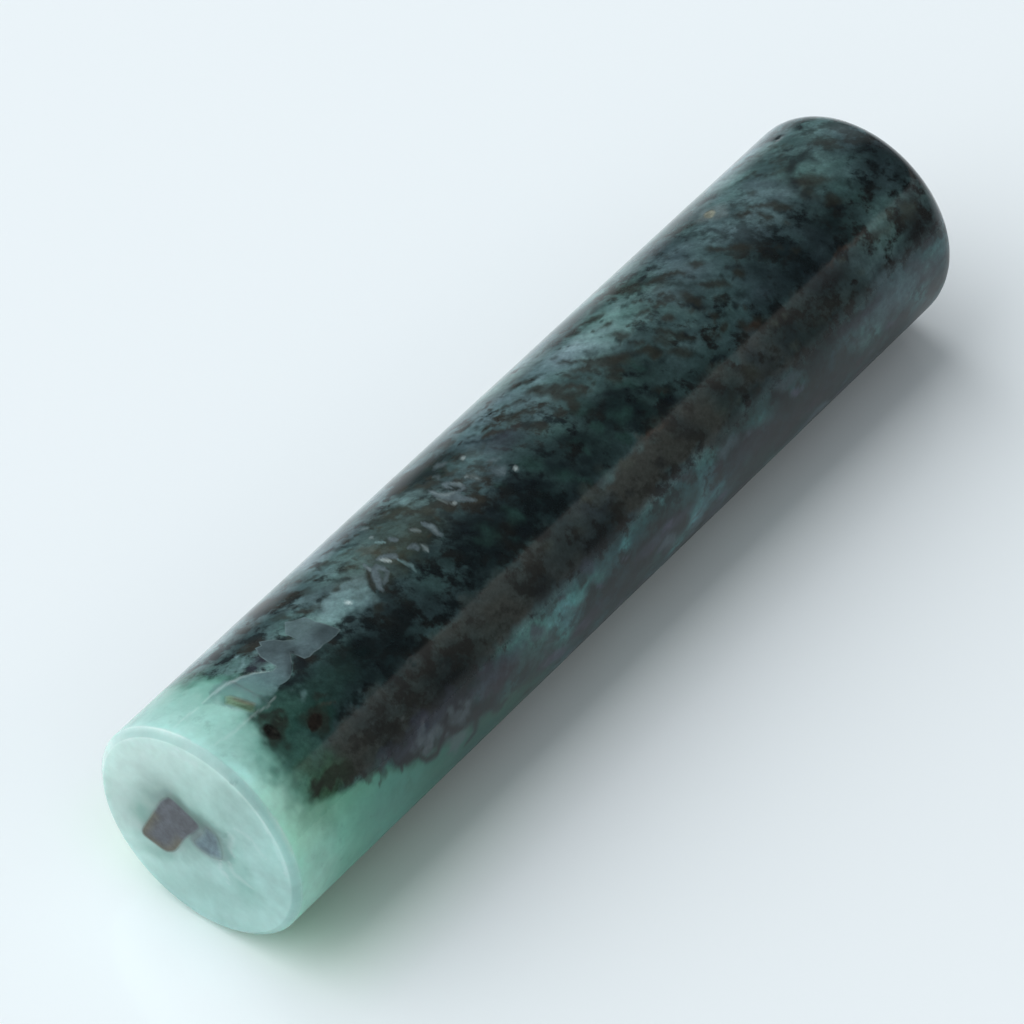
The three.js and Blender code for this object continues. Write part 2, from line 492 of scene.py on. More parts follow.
class StonePattern:
    """The stone's colours, worked out for any point of its surface.

    The ground has a lightness, which a ramp turns into colour, and dark flecks cover a share of
    it. Both follow bands round the rod, broad patches and cloud noise that is drawn out along one
    slanting direction. The pale jade of the seal end, single spots and veins lie over that.
    """

    ARC = math.radians(1.0) * RADIUS
    SLANT = np.array([0.61, -0.79, 0.0])
    SIDE_DRAW = 1.6
    END_DRAW = 1.3
    LIGHTEST = 1.05
    COVER = (0.02, 0.95)  # the least and the largest share of flecks
    # belts round the rod: the angles where each starts, is full, is still full and ends
    FEWER_FLECKS = (-75.0, -55.0, -4.0, 10.0)
    # the next belt lightens the ground along the upper-left silhouette: a painted highlight for the
    # bright grazing reflection there
    SILHOUETTE_SHEEN = (-95.0, -72.0, -56.0, -32.0)
    LOW_FLANK = (60.0, 72.0, 118.0, 135.0)
    DULL = (58.0, 70.0, 130.0, 160.0)
    NEAR_BROWN = (36.0, 42.0, 58.0, 63.0)
    FAR_BROWN = (-130.0, -122.0, -110.0, -102.0)
    LESS_BLUE = (22.0, 42.0, 62.0, 78.0)
    # what the clouds and the lower flank add to the red, green and blue, as shares of them
    HUE_DRIFT = (0.03, -0.01, 0.04)
    VIOLET_DRIFT = (0.05, -0.02, 0.02)
    TEAL_NEAR = (-0.46, 0.03, 0.0)
    TEAL_FAR = (-0.38, 0.04, 0.04)
    RAMP = (
        (0.00, (5, 15, 19)),
        (0.18, (17, 29, 32)),
        (0.36, (32, 46, 48)),
        (0.54, (53, 73, 75)),
        (0.72, (82, 108, 109)),
        (0.88, (110, 138, 140)),
        (1.05, (140, 166, 168)),
    )
    # the bands round the rod, as (angle, ground lightness, share of flecks)
    BANDS = (
        (-180, 0.4, 0.5), (-150, 0.54, 0.38), (-125, 0.46, 0.45), (-112, 0.42, 0.45),
        (-90, 0.6, 0.34), (-60, 0.68, 0.3), (-35, 0.67, 0.33), (-20, 0.67, 0.36),
        (-6, 0.65, 0.42), (3, 0.57, 0.48), (9, 0.44, 0.48), (16, 0.33, 0.42), (34, 0.31, 0.46),
        (40, 0.5, 0.38), (56, 0.47, 0.42), (60, 0.44, 0.45), (65, 0.62, 0.24), (73, 0.59, 0.26),
        (79, 0.49, 0.34), (90, 0.42, 0.36), (110, 0.44, 0.4), (122, 0.46, 0.4),
        (140, 0.58, 0.3), (160, 0.48, 0.45), (180, 0.4, 0.5),
    )
    # where the pale end gives way to the dark stone, as (angle, along)
    PALE_EDGE = (
        (-180, 8), (-150, 6), (-120, 5), (-90, 6), (-60, 4.6), (-45, 4.6), (-30, 4.4),
        (-22, 4.7), (-12, 5.5), (-4, 6.2), (3, 6), (8, 5), (14, 4.7), (22, 4.1), (30, 3.5),
        (38, 3.1), (45, 2.7), (52, 2.5), (57, 3), (61, 4.7), (66, 7), (72, 8.4), (80, 10.2),
        (86, 13), (92, 16.5), (100, 19), (110, 19.5), (125, 17), (150, 12), (180, 8),
    )
    # how gently it does so, as (angle, millimetres)
    PALE_FADE = (
        (-180, 5), (-60, 1.6), (-30, 0.9), (0, 0.7), (8, 1.4), (20, 1.9), (38, 1.3),
        (50, 0.7), (58, 1), (70, 1), (80, 1.4), (90, 3.4), (120, 5), (180, 5),
    )
    # how light the pale end is round the rod, as (angle, factor)
    PALE_LIFT = (
        (-16, 1), (-8, 1.12), (0, 1.22), (6, 1.12), (12, 1.02), (18, 1.1), (28, 1.24),
        (38, 1.26), (48, 1.14), (70, 1.1), (80, 1.06), (92, 0.96), (115, 0.97), (140, 1),
    )
    # the pale end's colour on the upper side and on the lower flank, by distance from the seal
    PALE_TONES = (
        (0.5, (172, 212, 206), (170, 224, 208)), (1.5, (158, 200, 192), (160, 214, 197)),
        (2.4, (150, 194, 185), (145, 200, 182)), (3.2, (141, 185, 175), (131, 189, 171)),
        (4.2, (116, 166, 154), (116, 179, 159)), (5.2, (96, 142, 131), (104, 168, 148)),
        (7, (80, 120, 112), (90, 152, 137)), (9, (66, 104, 98), (74, 133, 120)),
        (11, (56, 92, 86), (60, 119, 105)), (15, (44, 76, 72), (38, 88, 80)),
        (20, (40, 68, 66), (28, 68, 64)),
    )
    # the clear outlined tail that the grey flake runs out into, as (along, angle)
    TAIL = (
        (2.9, -14), (4, -16), (5, -13.2), (5.7, -10.6), (6.1, -6.5), (6.5, 0),
        (6, 6.8), (5, 8), (4.2, 8.7), (3.7, 5), (3.3, -4),
    )

    def __init__(self, seed: int) -> None:
        """Starts the noise from a seed."""
        self.noise = StoneNoise(seed)

    def grainwise(self, points: Array, draw: float) -> Array:
        """Squeezes space along the slanting grain, so that noise there comes out drawn along it."""
        run = points @ self.SLANT
        return points - np.outer(run * (1.0 - 1.0 / draw), self.SLANT)

    def mottling(self, drawn: Array) -> list[Array]:
        """The wide, the middle-sized and the patchy cloud at these places."""
        return [self.noise.of(drawn, kind) for kind in (Cloud.WIDE, Cloud.MIDDLE, Cloud.PATCHY)]

    def side(self, along: Array, angle: Array) -> Paint:
        """Colours the round side.

        Args:
            along: millimetres from the seal face.
            angle: degrees from the top line towards -Y, from -180 to 180.

        Returns:
            The paint of each point.
        """
        at = on_side(along, angle, RADIUS)
        drawn = self.grainwise(at, self.SIDE_DRAW)
        wide, mid, patchy = self.mottling(drawn)
        warps = ((Cloud.BEND_ALONG, Cloud.CURL_ALONG), (Cloud.BEND_ROUND, Cloud.CURL_ROUND))
        bend = [self.noise.of(at, a) * 0.30 + self.noise.of(at, b) * 0.10 for a, b in warps]
        flat = np.stack([along, angle * self.ARC], axis=-1)
        bent = flat + np.stack(bend, axis=-1)

        turned = angle + bend[1] * 6.0
        light = look_up(self.BANDS, turned, 1)
        cover = look_up(self.BANDS, turned, 2)
        for p in PATCHES:
            share = oval(bent, p, self.ARC)
            light = light + p.lighter * share
            cover = cover + p.flecks * share
        light = np.clip(light + 0.10 * wide + 0.08 * mid, 0.0, self.LIGHTEST)
        cover = cover - 0.10 * belt(angle, *self.FEWER_FLECKS)
        cover = np.clip(cover - 0.12 * wide + 0.26 * patchy, *self.COVER)
        # painted highlight: lighter ground and fewer flecks along the upper-left silhouette
        silhouette_sheen = belt(angle, *self.SILHOUETTE_SHEEN)
        light, cover = light + 0.16 * silhouette_sheen, cover - 0.14 * silhouette_sheen
        misty = (smooth(14.0, 0.0, angle) + smooth(125.0, 150.0, angle))[:, None]
        colour, dark = self.ground(at, drawn, light, misty)
        # the misty band's flecks fade towards the top end
        calm = (smooth(34.0, 46.0, along) * 0.5)[:, None] * misty
        dark = blend(dark, colour * 0.7, calm)
        colour, dark = self.lower_flank(along, angle, colour, dark)
        paint = Paint.even(colour, dark, flecked=cover, grain=1.0, clear=0.10, rough=0.09)
        self.brown_bands(paint, bent, wide, mid)
        paint = self.pale_end(paint, bent, angle, at)
        self.features(paint, flat, bent)
        paint.rough = paint.rough + 0.24 * belt(angle, *self.DULL)
        return paint

    def ground(self, at: Array, drawn: Array, light: Array, misty: Array) -> tuple[Array, Array]:
        """Turns the ground's lightness into its colour, and finds the flecks' own.

        Args:
            at: places in space.
            drawn: the same places, squeezed along the grain.
            light: the ground's lightness.
            misty: how milky the stone is, from 0 to 1, in one column.

        Returns:
            The ground's colour and the flecks' colour.
        """
        hue = np.outer(self.noise.of(at, Cloud.HUE), self.HUE_DRIFT)
        violet = np.outer(self.noise.of(drawn, Cloud.VIOLET), self.VIOLET_DRIFT)
        colour = ramp(*zip(*self.RAMP), light) * (1.0 + hue + violet)
        warm = smooth(-0.5, 0.9, self.noise.of(drawn, Cloud.WARM))[:, None]
        black = blend(linear(15, 24, 26), linear(24, 36, 38), misty)
        brown = blend(linear(24, 27, 26), linear(41, 42, 38), misty)
        return colour, np.minimum(blend(black, brown, warm), colour * 0.8)

    def lower_flank(
        self, along: Array, angle: Array, colour: Array, dark: Array
    ) -> tuple[Array, Array]:
        """Turns the lower flank to teal, with stronger contrast in its ground and fainter flecks.

        The contrast is base * (colour / base)^power, which leaves the base colour as it is.

        Args:
            along: millimetres from the seal face.
            angle: degrees round the rod.
            colour: the ground's colour.
            dark: the flecks' colour.

        Returns:
            The ground's colour and the flecks' colour.
        """
        low = belt(angle, *self.LOW_FLANK)
        far = smooth(26.0, 46.0, along)
        drift = np.outer(1 - far, self.TEAL_NEAR) + np.outer(far, self.TEAL_FAR)
        teal = 1.0 + low[:, None] * drift
        base, power = linear(52, 66, 69), (1.0 + (0.6 - 0.3 * far) * low)[:, None]
        colour = base * (colour / base) ** power
        return colour * teal, blend(dark, colour * 0.6, (0.45 * low)[:, None]) * teal

    def end(self, right: Array, up: Array) -> Paint:
        """Colours the top end, which cuts across the same clouds as the round side.

        Args:
            right: millimetres towards -Y from the middle.
            up: millimetres above the middle.

        Returns:
            The paint of each point.
        """
        at = on_end(-SEAL_X, right, up)
        drawn = self.grainwise(at, self.END_DRAW)
        wide, mid, patchy = self.mottling(drawn)
        light = np.clip(0.52 + 0.12 * wide + 0.10 * mid, 0.0, self.LIGHTEST)
        cover = np.clip(0.42 - 0.12 * wide + 0.28 * patchy, *self.COVER)
        colour, dark = self.ground(at, drawn, light, np.full((len(right), 1), 0.5))
        return Paint.even(colour, dark, flecked=cover, grain=1.0, clear=0.10, rough=0.10)

    def brown_bands(self, paint: Paint, bent: Array, wide: Array, mid: Array) -> None:
        """Warms the two brown bands, on the near flank and on the far one.

        Args:
            paint: the paint to change.
            bent: warped (along, arc) places.
            wide: the broad cloud.
            mid: the middle-sized cloud.
        """
        wild = smooth(20.0, 30.0, bent[:, 0])
        turned = bent[:, 1] / self.ARC - 4.0 * wild * mid
        near = belt(turned, *self.NEAR_BROWN) * smooth(53.0, 47.0, bent[:, 0])
        share = np.clip(0.62 - 0.08 * wild + (0.30 + 0.2 * wild) * (wide + 0.6 * mid), 0.0, 0.95)
        for band in (near, belt(turned, *self.FAR_BROWN)):
            w = (band * share)[:, None]
            paint.colour = blend(paint.colour, linear(55, 58, 54), w)
            paint.dark = blend(paint.dark, linear(40, 43, 40), w)

    def pale_end(self, paint: Paint, bent: Array, angle: Array, at: Array) -> Paint:
        """Lays the pale jade of the seal end over the dark stone, with a green rim between them.

        Args:
            paint: the dark stone's paint.
            bent: warped (along, arc) places.
            angle: degrees round the rod.
            at: places in space.

        Returns:
            The paint of both.
        """
        depth = (bent[:, 0] - look_up(self.PALE_EDGE, angle)) / look_up(self.PALE_FADE, angle)
        milky = self.noise.of(at, Cloud.MILKY_SIDE)
        tone = np.outer((1.0 + 0.10 * milky) * look_up(self.PALE_LIFT, angle), np.ones(3))
        tone[:, 2] *= 1.0 - 0.06 * belt(angle, *self.LESS_BLUE)
        stops, *tones = zip(*self.PALE_TONES)
        upper, under = (ramp(stops, kind, bent[:, 0]) for kind in tones)
        mint = blend(upper, under, smooth(30.0, 80.0, angle)[:, None]) * tone
        pale = Paint.even(
            mint, mint * 0.85, flecked=0.03, grain=0.16, clear=0.7, rough=paint.rough + 0.05
        )
        paint = paint.mix(pale, smooth(0.6, -0.6, depth))
        paint.lay(linear(50, 100, 82), 0.34 * belt(depth, -1.0, -0.1, 0.1, 0.9))
        inside = smooth(0.04, -0.05, polygon_distance(bent, unrolled(self.TAIL, self.ARC)))
        paint.lay(linear(98, 128, 128), inside * (0.30 + 0.55 * smooth(3.0, 5.2, bent[:, 0])))
        return paint

    def features(self, paint: Paint, flat: Array, bent: Array) -> None:
        """Lays the strewn spots, the single ones and the veins over the round side.

        Args:
            paint: the paint to change.
            flat: (along, arc) places.
            bent: the same places, warped.
        """
        rng = np.random.default_rng(self.noise.seed)
        strewn = [spot for swarm in SWARMS for spot in swarm.spots(rng)]
        strewn += [Spot(*blotch, UMBER, 0.85, 0.45, 0.6) for blotch in BLOTCHES]
        self.lay_spots(paint, (*strewn, *SPOTS), flat, bent, self.ARC)
        for v in VEINS:
            paint.lay(linear(*v.tint.value), stroke(flat + (bent - flat) * 0.3, v, self.ARC))

    @staticmethod
    def lay_spots(
        paint: Paint, spots: tuple[Spot, ...], flat: Array, bent: Array, arc: float = 1.0
    ) -> None:
        """Lays spots, each on the points that it can reach.

        Args:
            paint: the paint to change.
            spots: the spots, in the order in which they are laid.
            flat: places in the plane in millimetres.
            bent: the same places, warped.
            arc: millimetres for one step of a spot's second number.
        """
        for b in spots:
            reach = max(b.length, b.width) * (0.5 + 0.5 * b.soft) + 0.5 * b.rough
            rows = np.flatnonzero(np.abs(flat[:, 0] - b.along) < reach)
            rows = rows[np.abs(flat[rows, 1] - b.angle * arc) < reach]
            place = flat[rows] + (bent[rows] - flat[rows]) * b.rough
            paint.lay(linear(*b.tint.value), oval(place, b, arc) * b.amount, rows)

    def face(self, right: Array, up: Array) -> Paint:
        """Colours the seal face.

        Args:
            right: millimetres to the right of the middle, looking at the face.
            up: millimetres above the middle.

        Returns:
            The paint of each point.
        """
        at = on_end(SEAL_X, right, up)
        milky = self.noise.of(at, Cloud.MILKY_FACE)
        fine = self.noise.of(at, Cloud.FINE_FACE)
        ease = smooth(-5.5, 3.5, 0.75 * right - 0.5 * up)[:, None]
        colour = blend(linear(198, 223, 217), linear(160, 200, 194), ease)
        colour = colour * (1.0 + 0.11 * milky + 0.05 * fine)[:, None]
        paint = Paint.even(
            colour, colour.copy(), flecked=0.05, grain=0.10, clear=0.7, rough=0.18
        )
        flat = np.stack([right, up], axis=-1)
        bent = flat + 0.22 * np.stack([fine, milky], axis=-1)
        self.lay_spots(paint, FACE_SPOTS, flat, bent)
        for v in FACE_VEINS:
            paint.lay(linear(*v.tint.value), stroke(bent, v))
        return paint


# the tints by their own names, for the tables below
(
    BLACK, BROWN, INK, RUST, UMBER, OLIVE, PLUM, DUSK, VIOLET, GREEN, SEA,
    FERN, TEAL, SLATE, HAZE, DEEP, JADE, MIST, LILAC, MOSS, PEARL, WHITE,
) = Tint

# The broad patches of the round side: along, angle, length and width, then how much lighter the
# ground is there and how much more or less of it the flecks cover
PATCHES = tuple(Patch(*row) for row in (
    (12.9, -4, 3.9, 2.2, 0.22, -0.55, 0, 0.4), (17, 0, 8, 2, -0.16, 0.2),
    (8.3, -30, 6, 2.6, -0.18, 0.2), (14, -17, 10, 2.4, -0.05, 0.05),
    (23.6, -29, 4, 2.4, -0.24, 0.35, 0, 0.5), (22.8, -8, 3.6, 1.8, 0.04, -0.05),
    (27.5, -24, 6, 3, 0.06, -0.08), (31.5, -9, 5, 1.8, -0.04, 0.1),
    (36.3, -20, 6.5, 3.4, 0.15, -0.16), (39, -33, 12, 1.8, -0.12, 0.1),
    (43.5, -20, 6.5, 3.6, -0.04, 0.04), (40.5, 6, 6, 2, 0.02, -0.16),
    (46.5, -3, 3.6, 2.2, -0.02, 0.1), (52, -22, 6, 3.2, -0.02, 0.02),
    (54.4, 9, 5, 2.8, 0.28, -0.6), (53, 36, 7, 1.4, 0.14, -0.1), (53, -10, 7, 2, 0.04, -0.06),
    (41.5, 22, 11, 3.6, 0.16, -0.4), (53.5, 50, 7, 2.6, 0.14, -0.2),
    (53.5, 80, 8, 2.4, 0.1, -0.16), (38, -12, 16, 4.5, -0.03, -0.1), (40, 1, 10, 2.2, -0.07, 0.06),
    (25, -13, 5.5, 3.6, -0.08, 0.06), (31.2, -14, 5, 3.6, 0.1, -0.1),
    (36.8, -12, 5, 3.6, 0.06, -0.06), (43.8, -10, 6, 3.6, -0.07, 0.05),
    (24.5, -8, 12, 3.6, -0.05, -0.04), (50.6, 22, 5, 3, 0.02, -0.04), (56, 28, 5, 3, 0.12, -0.24),
    (10, 24, 6, 2.4, -0.08, 0.12), (9.5, 13, 4, 1, 0.06, -0.16),
    (13, 67, 9, 2, -0.2, 0.26, 0, 0.5), (26.5, 63.5, 9, 1.2, -0.08, 0.06),
    (27, 73, 8, 1.4, 0.06, -0.1), (35, 69, 9, 1.4, -0.1, 0.12), (45.5, 69, 8, 1.4, -0.16, 0.2),
    (56, 68, 6, 3, -0.06, 0), (26, 84, 6, 1.6, -0.04, 0.16), (34.5, 92, 5, 2.6, 0.04, -0.06),
    (57.5, 98, 4, 5, 0.12, -0.16), (27.5, 90, 7, 2.6, -0.06, 0.04), (42.5, 90, 7, 3, -0.06, 0.06),
    (38, 80, 7, 1.6, -0.08, 0.1), (23, 79, 6, 1.6, 0.06, -0.08), (52, 82, 7, 2.6, 0.11, -0.16),
    (33, 100, 6, 1.8, 0.1, -0.12), (23, 100, 4, 1.6, -0.08, 0.1), (46, 102, 5, 1.8, -0.08, 0.1),
))

# The small flecks strewn over the round side: where, how many, how long and of which colours
SWARMS = (
    Swarm((7, 14), (-40, -8), 16, (0.5, 1.4), (BROWN, UMBER), 0.7),
    Swarm((13.5, 24), (-40, 5), 90, (0.35, 1.3), (BROWN, UMBER, BLACK, INK), 0.85),
    Swarm((23, 31), (-38, 2), 55, (0.35, 1.4), (BROWN, UMBER, INK), 0.85),
    Swarm((29, 42.5), (-38, 12), 90, (0.3, 1), (BROWN, UMBER, INK), 0.8),
    Swarm((42, 58), (-36, 22), 65, (0.4, 1.5), (UMBER, BLACK, INK), 0.8, 0.5),
    Swarm((35, 47), (8, 36), 40, (0.4, 1.2), (BLACK, INK, UMBER), 0.8, 0.5),
    Swarm((20, 37), (6, 36), 60, (0.6, 1.8), (BLACK, BLACK, DEEP), 0.7, 0.6),
    Swarm((8, 58), (-60, -38), 25, (0.6, 1.8), (UMBER, INK), 0.45, 0.6),
    Swarm((22, 58), (38, 60), 60, (0.5, 1.8), (UMBER, BLACK, MOSS), 0.5, 0.6, 20),
    Swarm((19, 58), (64, 112), 110, (0.6, 2.2), (DUSK, INK, INK, VIOLET, HAZE), 0.75, 0.5, 20),
    Swarm((9, 58), (-175, -70), 140, (0.5, 1.8), (BROWN, UMBER, BLACK), 0.7, 0.5),
)

# The larger blotches of the misty band: along, angle, length, width and turn
BLOTCHES = (
    (28.2, -10.2, 1.2, 0.4, 52), (29.9, -8.8, 1.2, 0.4, 52), (31.9, -9.5, 2.2, 0.9, 55),
    (31.9, -1.5, 1.3, 0.6, 60), (31.8, 5.4, 0.8, 0.9, 60), (32, -28.7, 1.7, 0.5, 42),
    (31.8, -17.7, 1.2, 0.5, 45), (33.3, -8.6, 0.8, 0.5, 45), (34.2, -4.5, 1.4, 0.6, 55),
    (34.5, -13.7, 1.9, 0.4, 50), (35.2, 5.1, 0.9, 0.6, 50), (35.5, -1.9, 2.6, 0.9, 50),
    (36.2, 2, 1.3, 0.8, 40), (36.8, -29.3, 0.9, 0.7, 60), (38, -27, 1.8, 0.45, 35),
    (37.5, -7.3, 1.1, 0.55, 50), (37.9, -15.6, 0.7, 0.55, 52), (39.8, -8.1, 0.6, 0.4, 52),
    (37.5, 10.5, 1.4, 0.45, 52), (39.3, 9.5, 1.2, 0.5, 52), (38.7, 21.2, 1.6, 0.6, 50),
    (41.3, -27.7, 1.9, 1, 45), (42.3, -16.5, 1.2, 0.4, 45), (43, -13.8, 0.8, 0.3, 45),
    (44.5, -6.9, 1.2, 0.4, 52), (43.5, -9.9, 1, 0.3, 52), (46.1, -4.3, 1.1, 0.4, 52),
    (42.1, 2.7, 1.1, 0.8, 60), (42.2, 7.8, 0.9, 0.6, 70), (44, 9.5, 1.4, 0.5, 52),
    (45.5, 12.9, 0.9, 0.5, 52), (47.1, 3.7, 1.6, 0.6, 55), (42.2, 18.9, 0.7, 0.4, 52),
    (42, 27.7, 0.7, 0.5, 52), (44, 26.3, 0.9, 0.35, 52), (49.7, 1.3, 1, 0.5, 52),
    (50.3, -4.4, 1.3, 0.5, 52), (50.9, 2.3, 1.2, 0.6, 50), (53.7, 3.6, 2.2, 0.8, 40),
)

# Single spots of the round side. A turn of about 52 degrees lies along the slanting grain.
SPOTS = tuple(Spot(*row) for row in (
    # the green run-out of the pale end, and the halo round the three dark grains
    (6.8, 21, 5.6, 3, 0, DEEP, 0.75, 0.6, 1.4), (5.2, 15, 2.4, 1.6, 0, TEAL, 0.6, 0.7, 1.4),
    (2.9, 27, 2.8, 3.8, 0, SEA, 0.6, 0.7, 1.4), (2.6, 43, 2.2, 2.4, 0, SEA, 0.6, 0.7, 1.4),
    (3.8, 21, 2, 2.5, 30, GREEN, 0.6, 0.6, 1.4), (3.9, 20, 1.7, 1.7, 20, UMBER, 0.75, 0.35, 1.4),
    (4.56, 17, 0.9, 0.8, 0, UMBER, 0.7, 0.4, 1.2), (3.6, 27.5, 1.1, 1, 0, UMBER, 0.45, 0.5, 1.8),
    (5.9, 28.5, 2.3, 1.8, 0, GREEN, 0.6, 0.6, 1.2),
    (5.95, 29, 1.7, 1.5, -10, UMBER, 0.85, 0.35, 1.2),
    (7.3, 24, 1.2, 0.6, 20, UMBER, 0.6, 0.4, 1.8),
    (6.5, 15.3, 0.8, 0.4, -20, MIST, 0.35, 0.8, 1.8), (7.2, 28, 1.1, 0.22, 30, RUST, 0.35, 0.5),
    (4.2, 36.5, 3.4, 2.1, 8, DEEP, 0.6, 0.6, 1.4), (3.6, 36.5, 2.2, 1.9, 8, TEAL, 0.7, 0.6, 1.4),
    (3.7, 41.5, 1.2, 0.6, 20, UMBER, 0.4, 0.5, 1.8),
    # the brown-black tongue that runs out towards the seal
    (3.6, 54, 3.6, 2.8, 0, FERN, 0.5, 0.8, 1.4), (4.5, 52.5, 3.6, 1.1, 4, UMBER, 0.75, 0.4, 1.8),
    (3.3, 52, 1.6, 0.6, 6, UMBER, 0.6, 0.5, 1.8), (4.6, 58, 1.4, 0.5, 20, BROWN, 0.65, 0.4, 2.2),
    (5.3, 60, 0.9, 0.4, 60, UMBER, 0.6, 0.4, 2.2), (6.4, 61, 2, 0.8, 20, BROWN, 0.6, 0.4, 2.2),
    (7.1, 65, 0.9, 0.4, 60, UMBER, 0.5, 0.4, 2.2), (7.9, 65, 1.6, 0.8, 20, PLUM, 0.6, 0.4, 1.6),
    # the lath's soft ends
    (3.72, -7.6, 0.7, 0.5, 0, SEA, 0.55, 0.6, 0.6), (4.22, 8.6, 0.7, 0.6, 0, TEAL, 0.4, 0.7, 0.6),
    (5.2, 9.4, 1.6, 0.8, 170, DEEP, 0.6, 0.7, 1),
    # round the flake
    (8.1, 4, 1, 1, 60, BLACK, 0.85, 0.4, 0.6), (7.4, 8.4, 1.7, 0.7, 30, BLACK, 0.7, 0.5, 1),
    (9.1, -8, 0.45, 0.6, 60, UMBER, 0.7, 0.5, 0.6), (6.8, -10, 0.7, 1.3, 80, PLUM, 0.6, 0.6),
    (6.4, -17, 0.45, 0.18, 40, MIST, 0.7, 0.5, 1), (6.8, -21, 0.4, 0.16, 50, MIST, 0.6, 0.5, 1),
    # the bright patch behind the flake
    (13, -3, 2.6, 1.3, 52, MIST, 0.7, 0.7, 1.4), (12.1, 0.5, 1.6, 0.8, 52, MIST, 0.5, 0.7, 1.4),
    # a painted glint: a small white spot that stands in for a highlight
    (13, -0.4, 0.38, 0.26, 60, WHITE, 0.6, 0.6, 0.2),
    (13.6, -10.6, 0.8, 0.5, 40, UMBER, 0.8, 0.5, 1.2),
    (15.2, -15.7, 0.9, 0.6, 52, BROWN, 0.6, 0.6, 1.4),
    (17, -12.3, 1.2, 0.8, 52, RUST, 0.45, 0.6, 1.4),
    (12.3, -28.5, 2, 0.9, 52, UMBER, 0.7, 0.5, 1.2),
    (14.1, 13.6, 1.5, 0.8, 10, UMBER, 0.8, 0.5, 1.8), (10.5, -19, 0.8, 0.35, 52, BROWN, 0.7, 0.4),
    (17.5, -3, 5.5, 2, 10, OLIVE, 0.3, 0.7, 1.4), (18, -14, 9, 3.2, 0, MOSS, 0.35, 0.7, 1.4),
    (21.65, -12.8, 0.7, 0.5, 40, BLACK, 0.7, 0.6, 1.2),
    (21.4, -20.5, 1.8, 1.2, 40, MIST, 0.4, 0.7, 1.4), (23.75, -1.6, 1, 0.5, 0, UMBER, 0.7, 0.6, 1),
    (24.15, -22.7, 0.5, 0.4, 40, LILAC, 0.7, 0.6, 0.6),
    (25.04, -17.4, 0.36, 0.26, 40, WHITE, 0.45, 0.7, 0.6),
    (25.45, 3.1, 0.56, 0.46, 10, LILAC, 0.7, 0.6, 0.8),
    (26, -1.2, 0.5, 0.34, 10, LILAC, 0.5, 0.6, 0.8),
    (25.6, -9, 2.6, 1.8, 20, MIST, 0.22, 0.8, 1.4), (27.4, -6, 2.6, 1.6, 20, PLUM, 0.45, 0.7, 1.4),
    (56.3, -33, 0.7, 0.4, 50, BLACK, 0.85, 0.4),
    # the beige grain's pale ring
    (48.6, -24.5, 2, 1.6, 40, PEARL, 0.42, 0.4),
    # painted glints: small white spots in the dark stone that stand in for highlights
    (26.15, 7.7, 0.26, 0.22, 0, WHITE, 0.45, 0.7, 0.1),
    (22.05, -0.6, 0.26, 0.2, 0, WHITE, 0.35, 0.7, 0.1),
    # violet clouds of the lower flank
    (11.5, 67, 4.5, 1.5, 0, VIOLET, 0.45, 0.6, 1.6), (17, 73, 5, 1.6, 0, VIOLET, 0.45, 0.6, 1.6),
    (17.6, 78, 2.6, 1.6, 20, DUSK, 0.8, 0.6, 1.8), (11.4, 74, 2.2, 1.2, 20, LILAC, 0.75, 0.6, 1.8),
    (13.8, 77, 2, 1, 20, LILAC, 0.55, 0.6, 1.8), (13.4, 89, 2.2, 1.4, 20, LILAC, 0.65, 0.6, 1.8),
    (21.2, 75, 4.6, 2.4, 0, SLATE, 0.5, 0.6, 1.8), (25.5, 71, 4, 1.2, 0, SLATE, 0.3, 0.6, 1.8),
    (54, 75, 8, 2.4, 0, HAZE, 0.75, 0.8, 1.8), (20.6, 92, 1.4, 1, 20, PLUM, 0.5, 0.6, 1.8),
    (31.7, 84.5, 4.6, 0.8, 0, VIOLET, 0.4, 0.5), (24.5, 94, 3, 1.2, 0, PLUM, 0.5, 0.5),
    (40, 81, 4.4, 1.6, 0, PLUM, 0.4, 0.5), (51.5, 70, 2.2, 0.7, 0, PLUM, 0.5, 0.5),
    # red-brown marks along the edge of the brown band
    (33.5, 38, 2.6, 0.3, 6, RUST, 0.35, 0.6, 1.2), (43.5, 38, 1.4, 0.3, 10, RUST, 0.3, 0.6, 1.2),
    (51.5, 37, 3, 0.3, 4, RUST, 0.35, 0.6, 1.2),
))

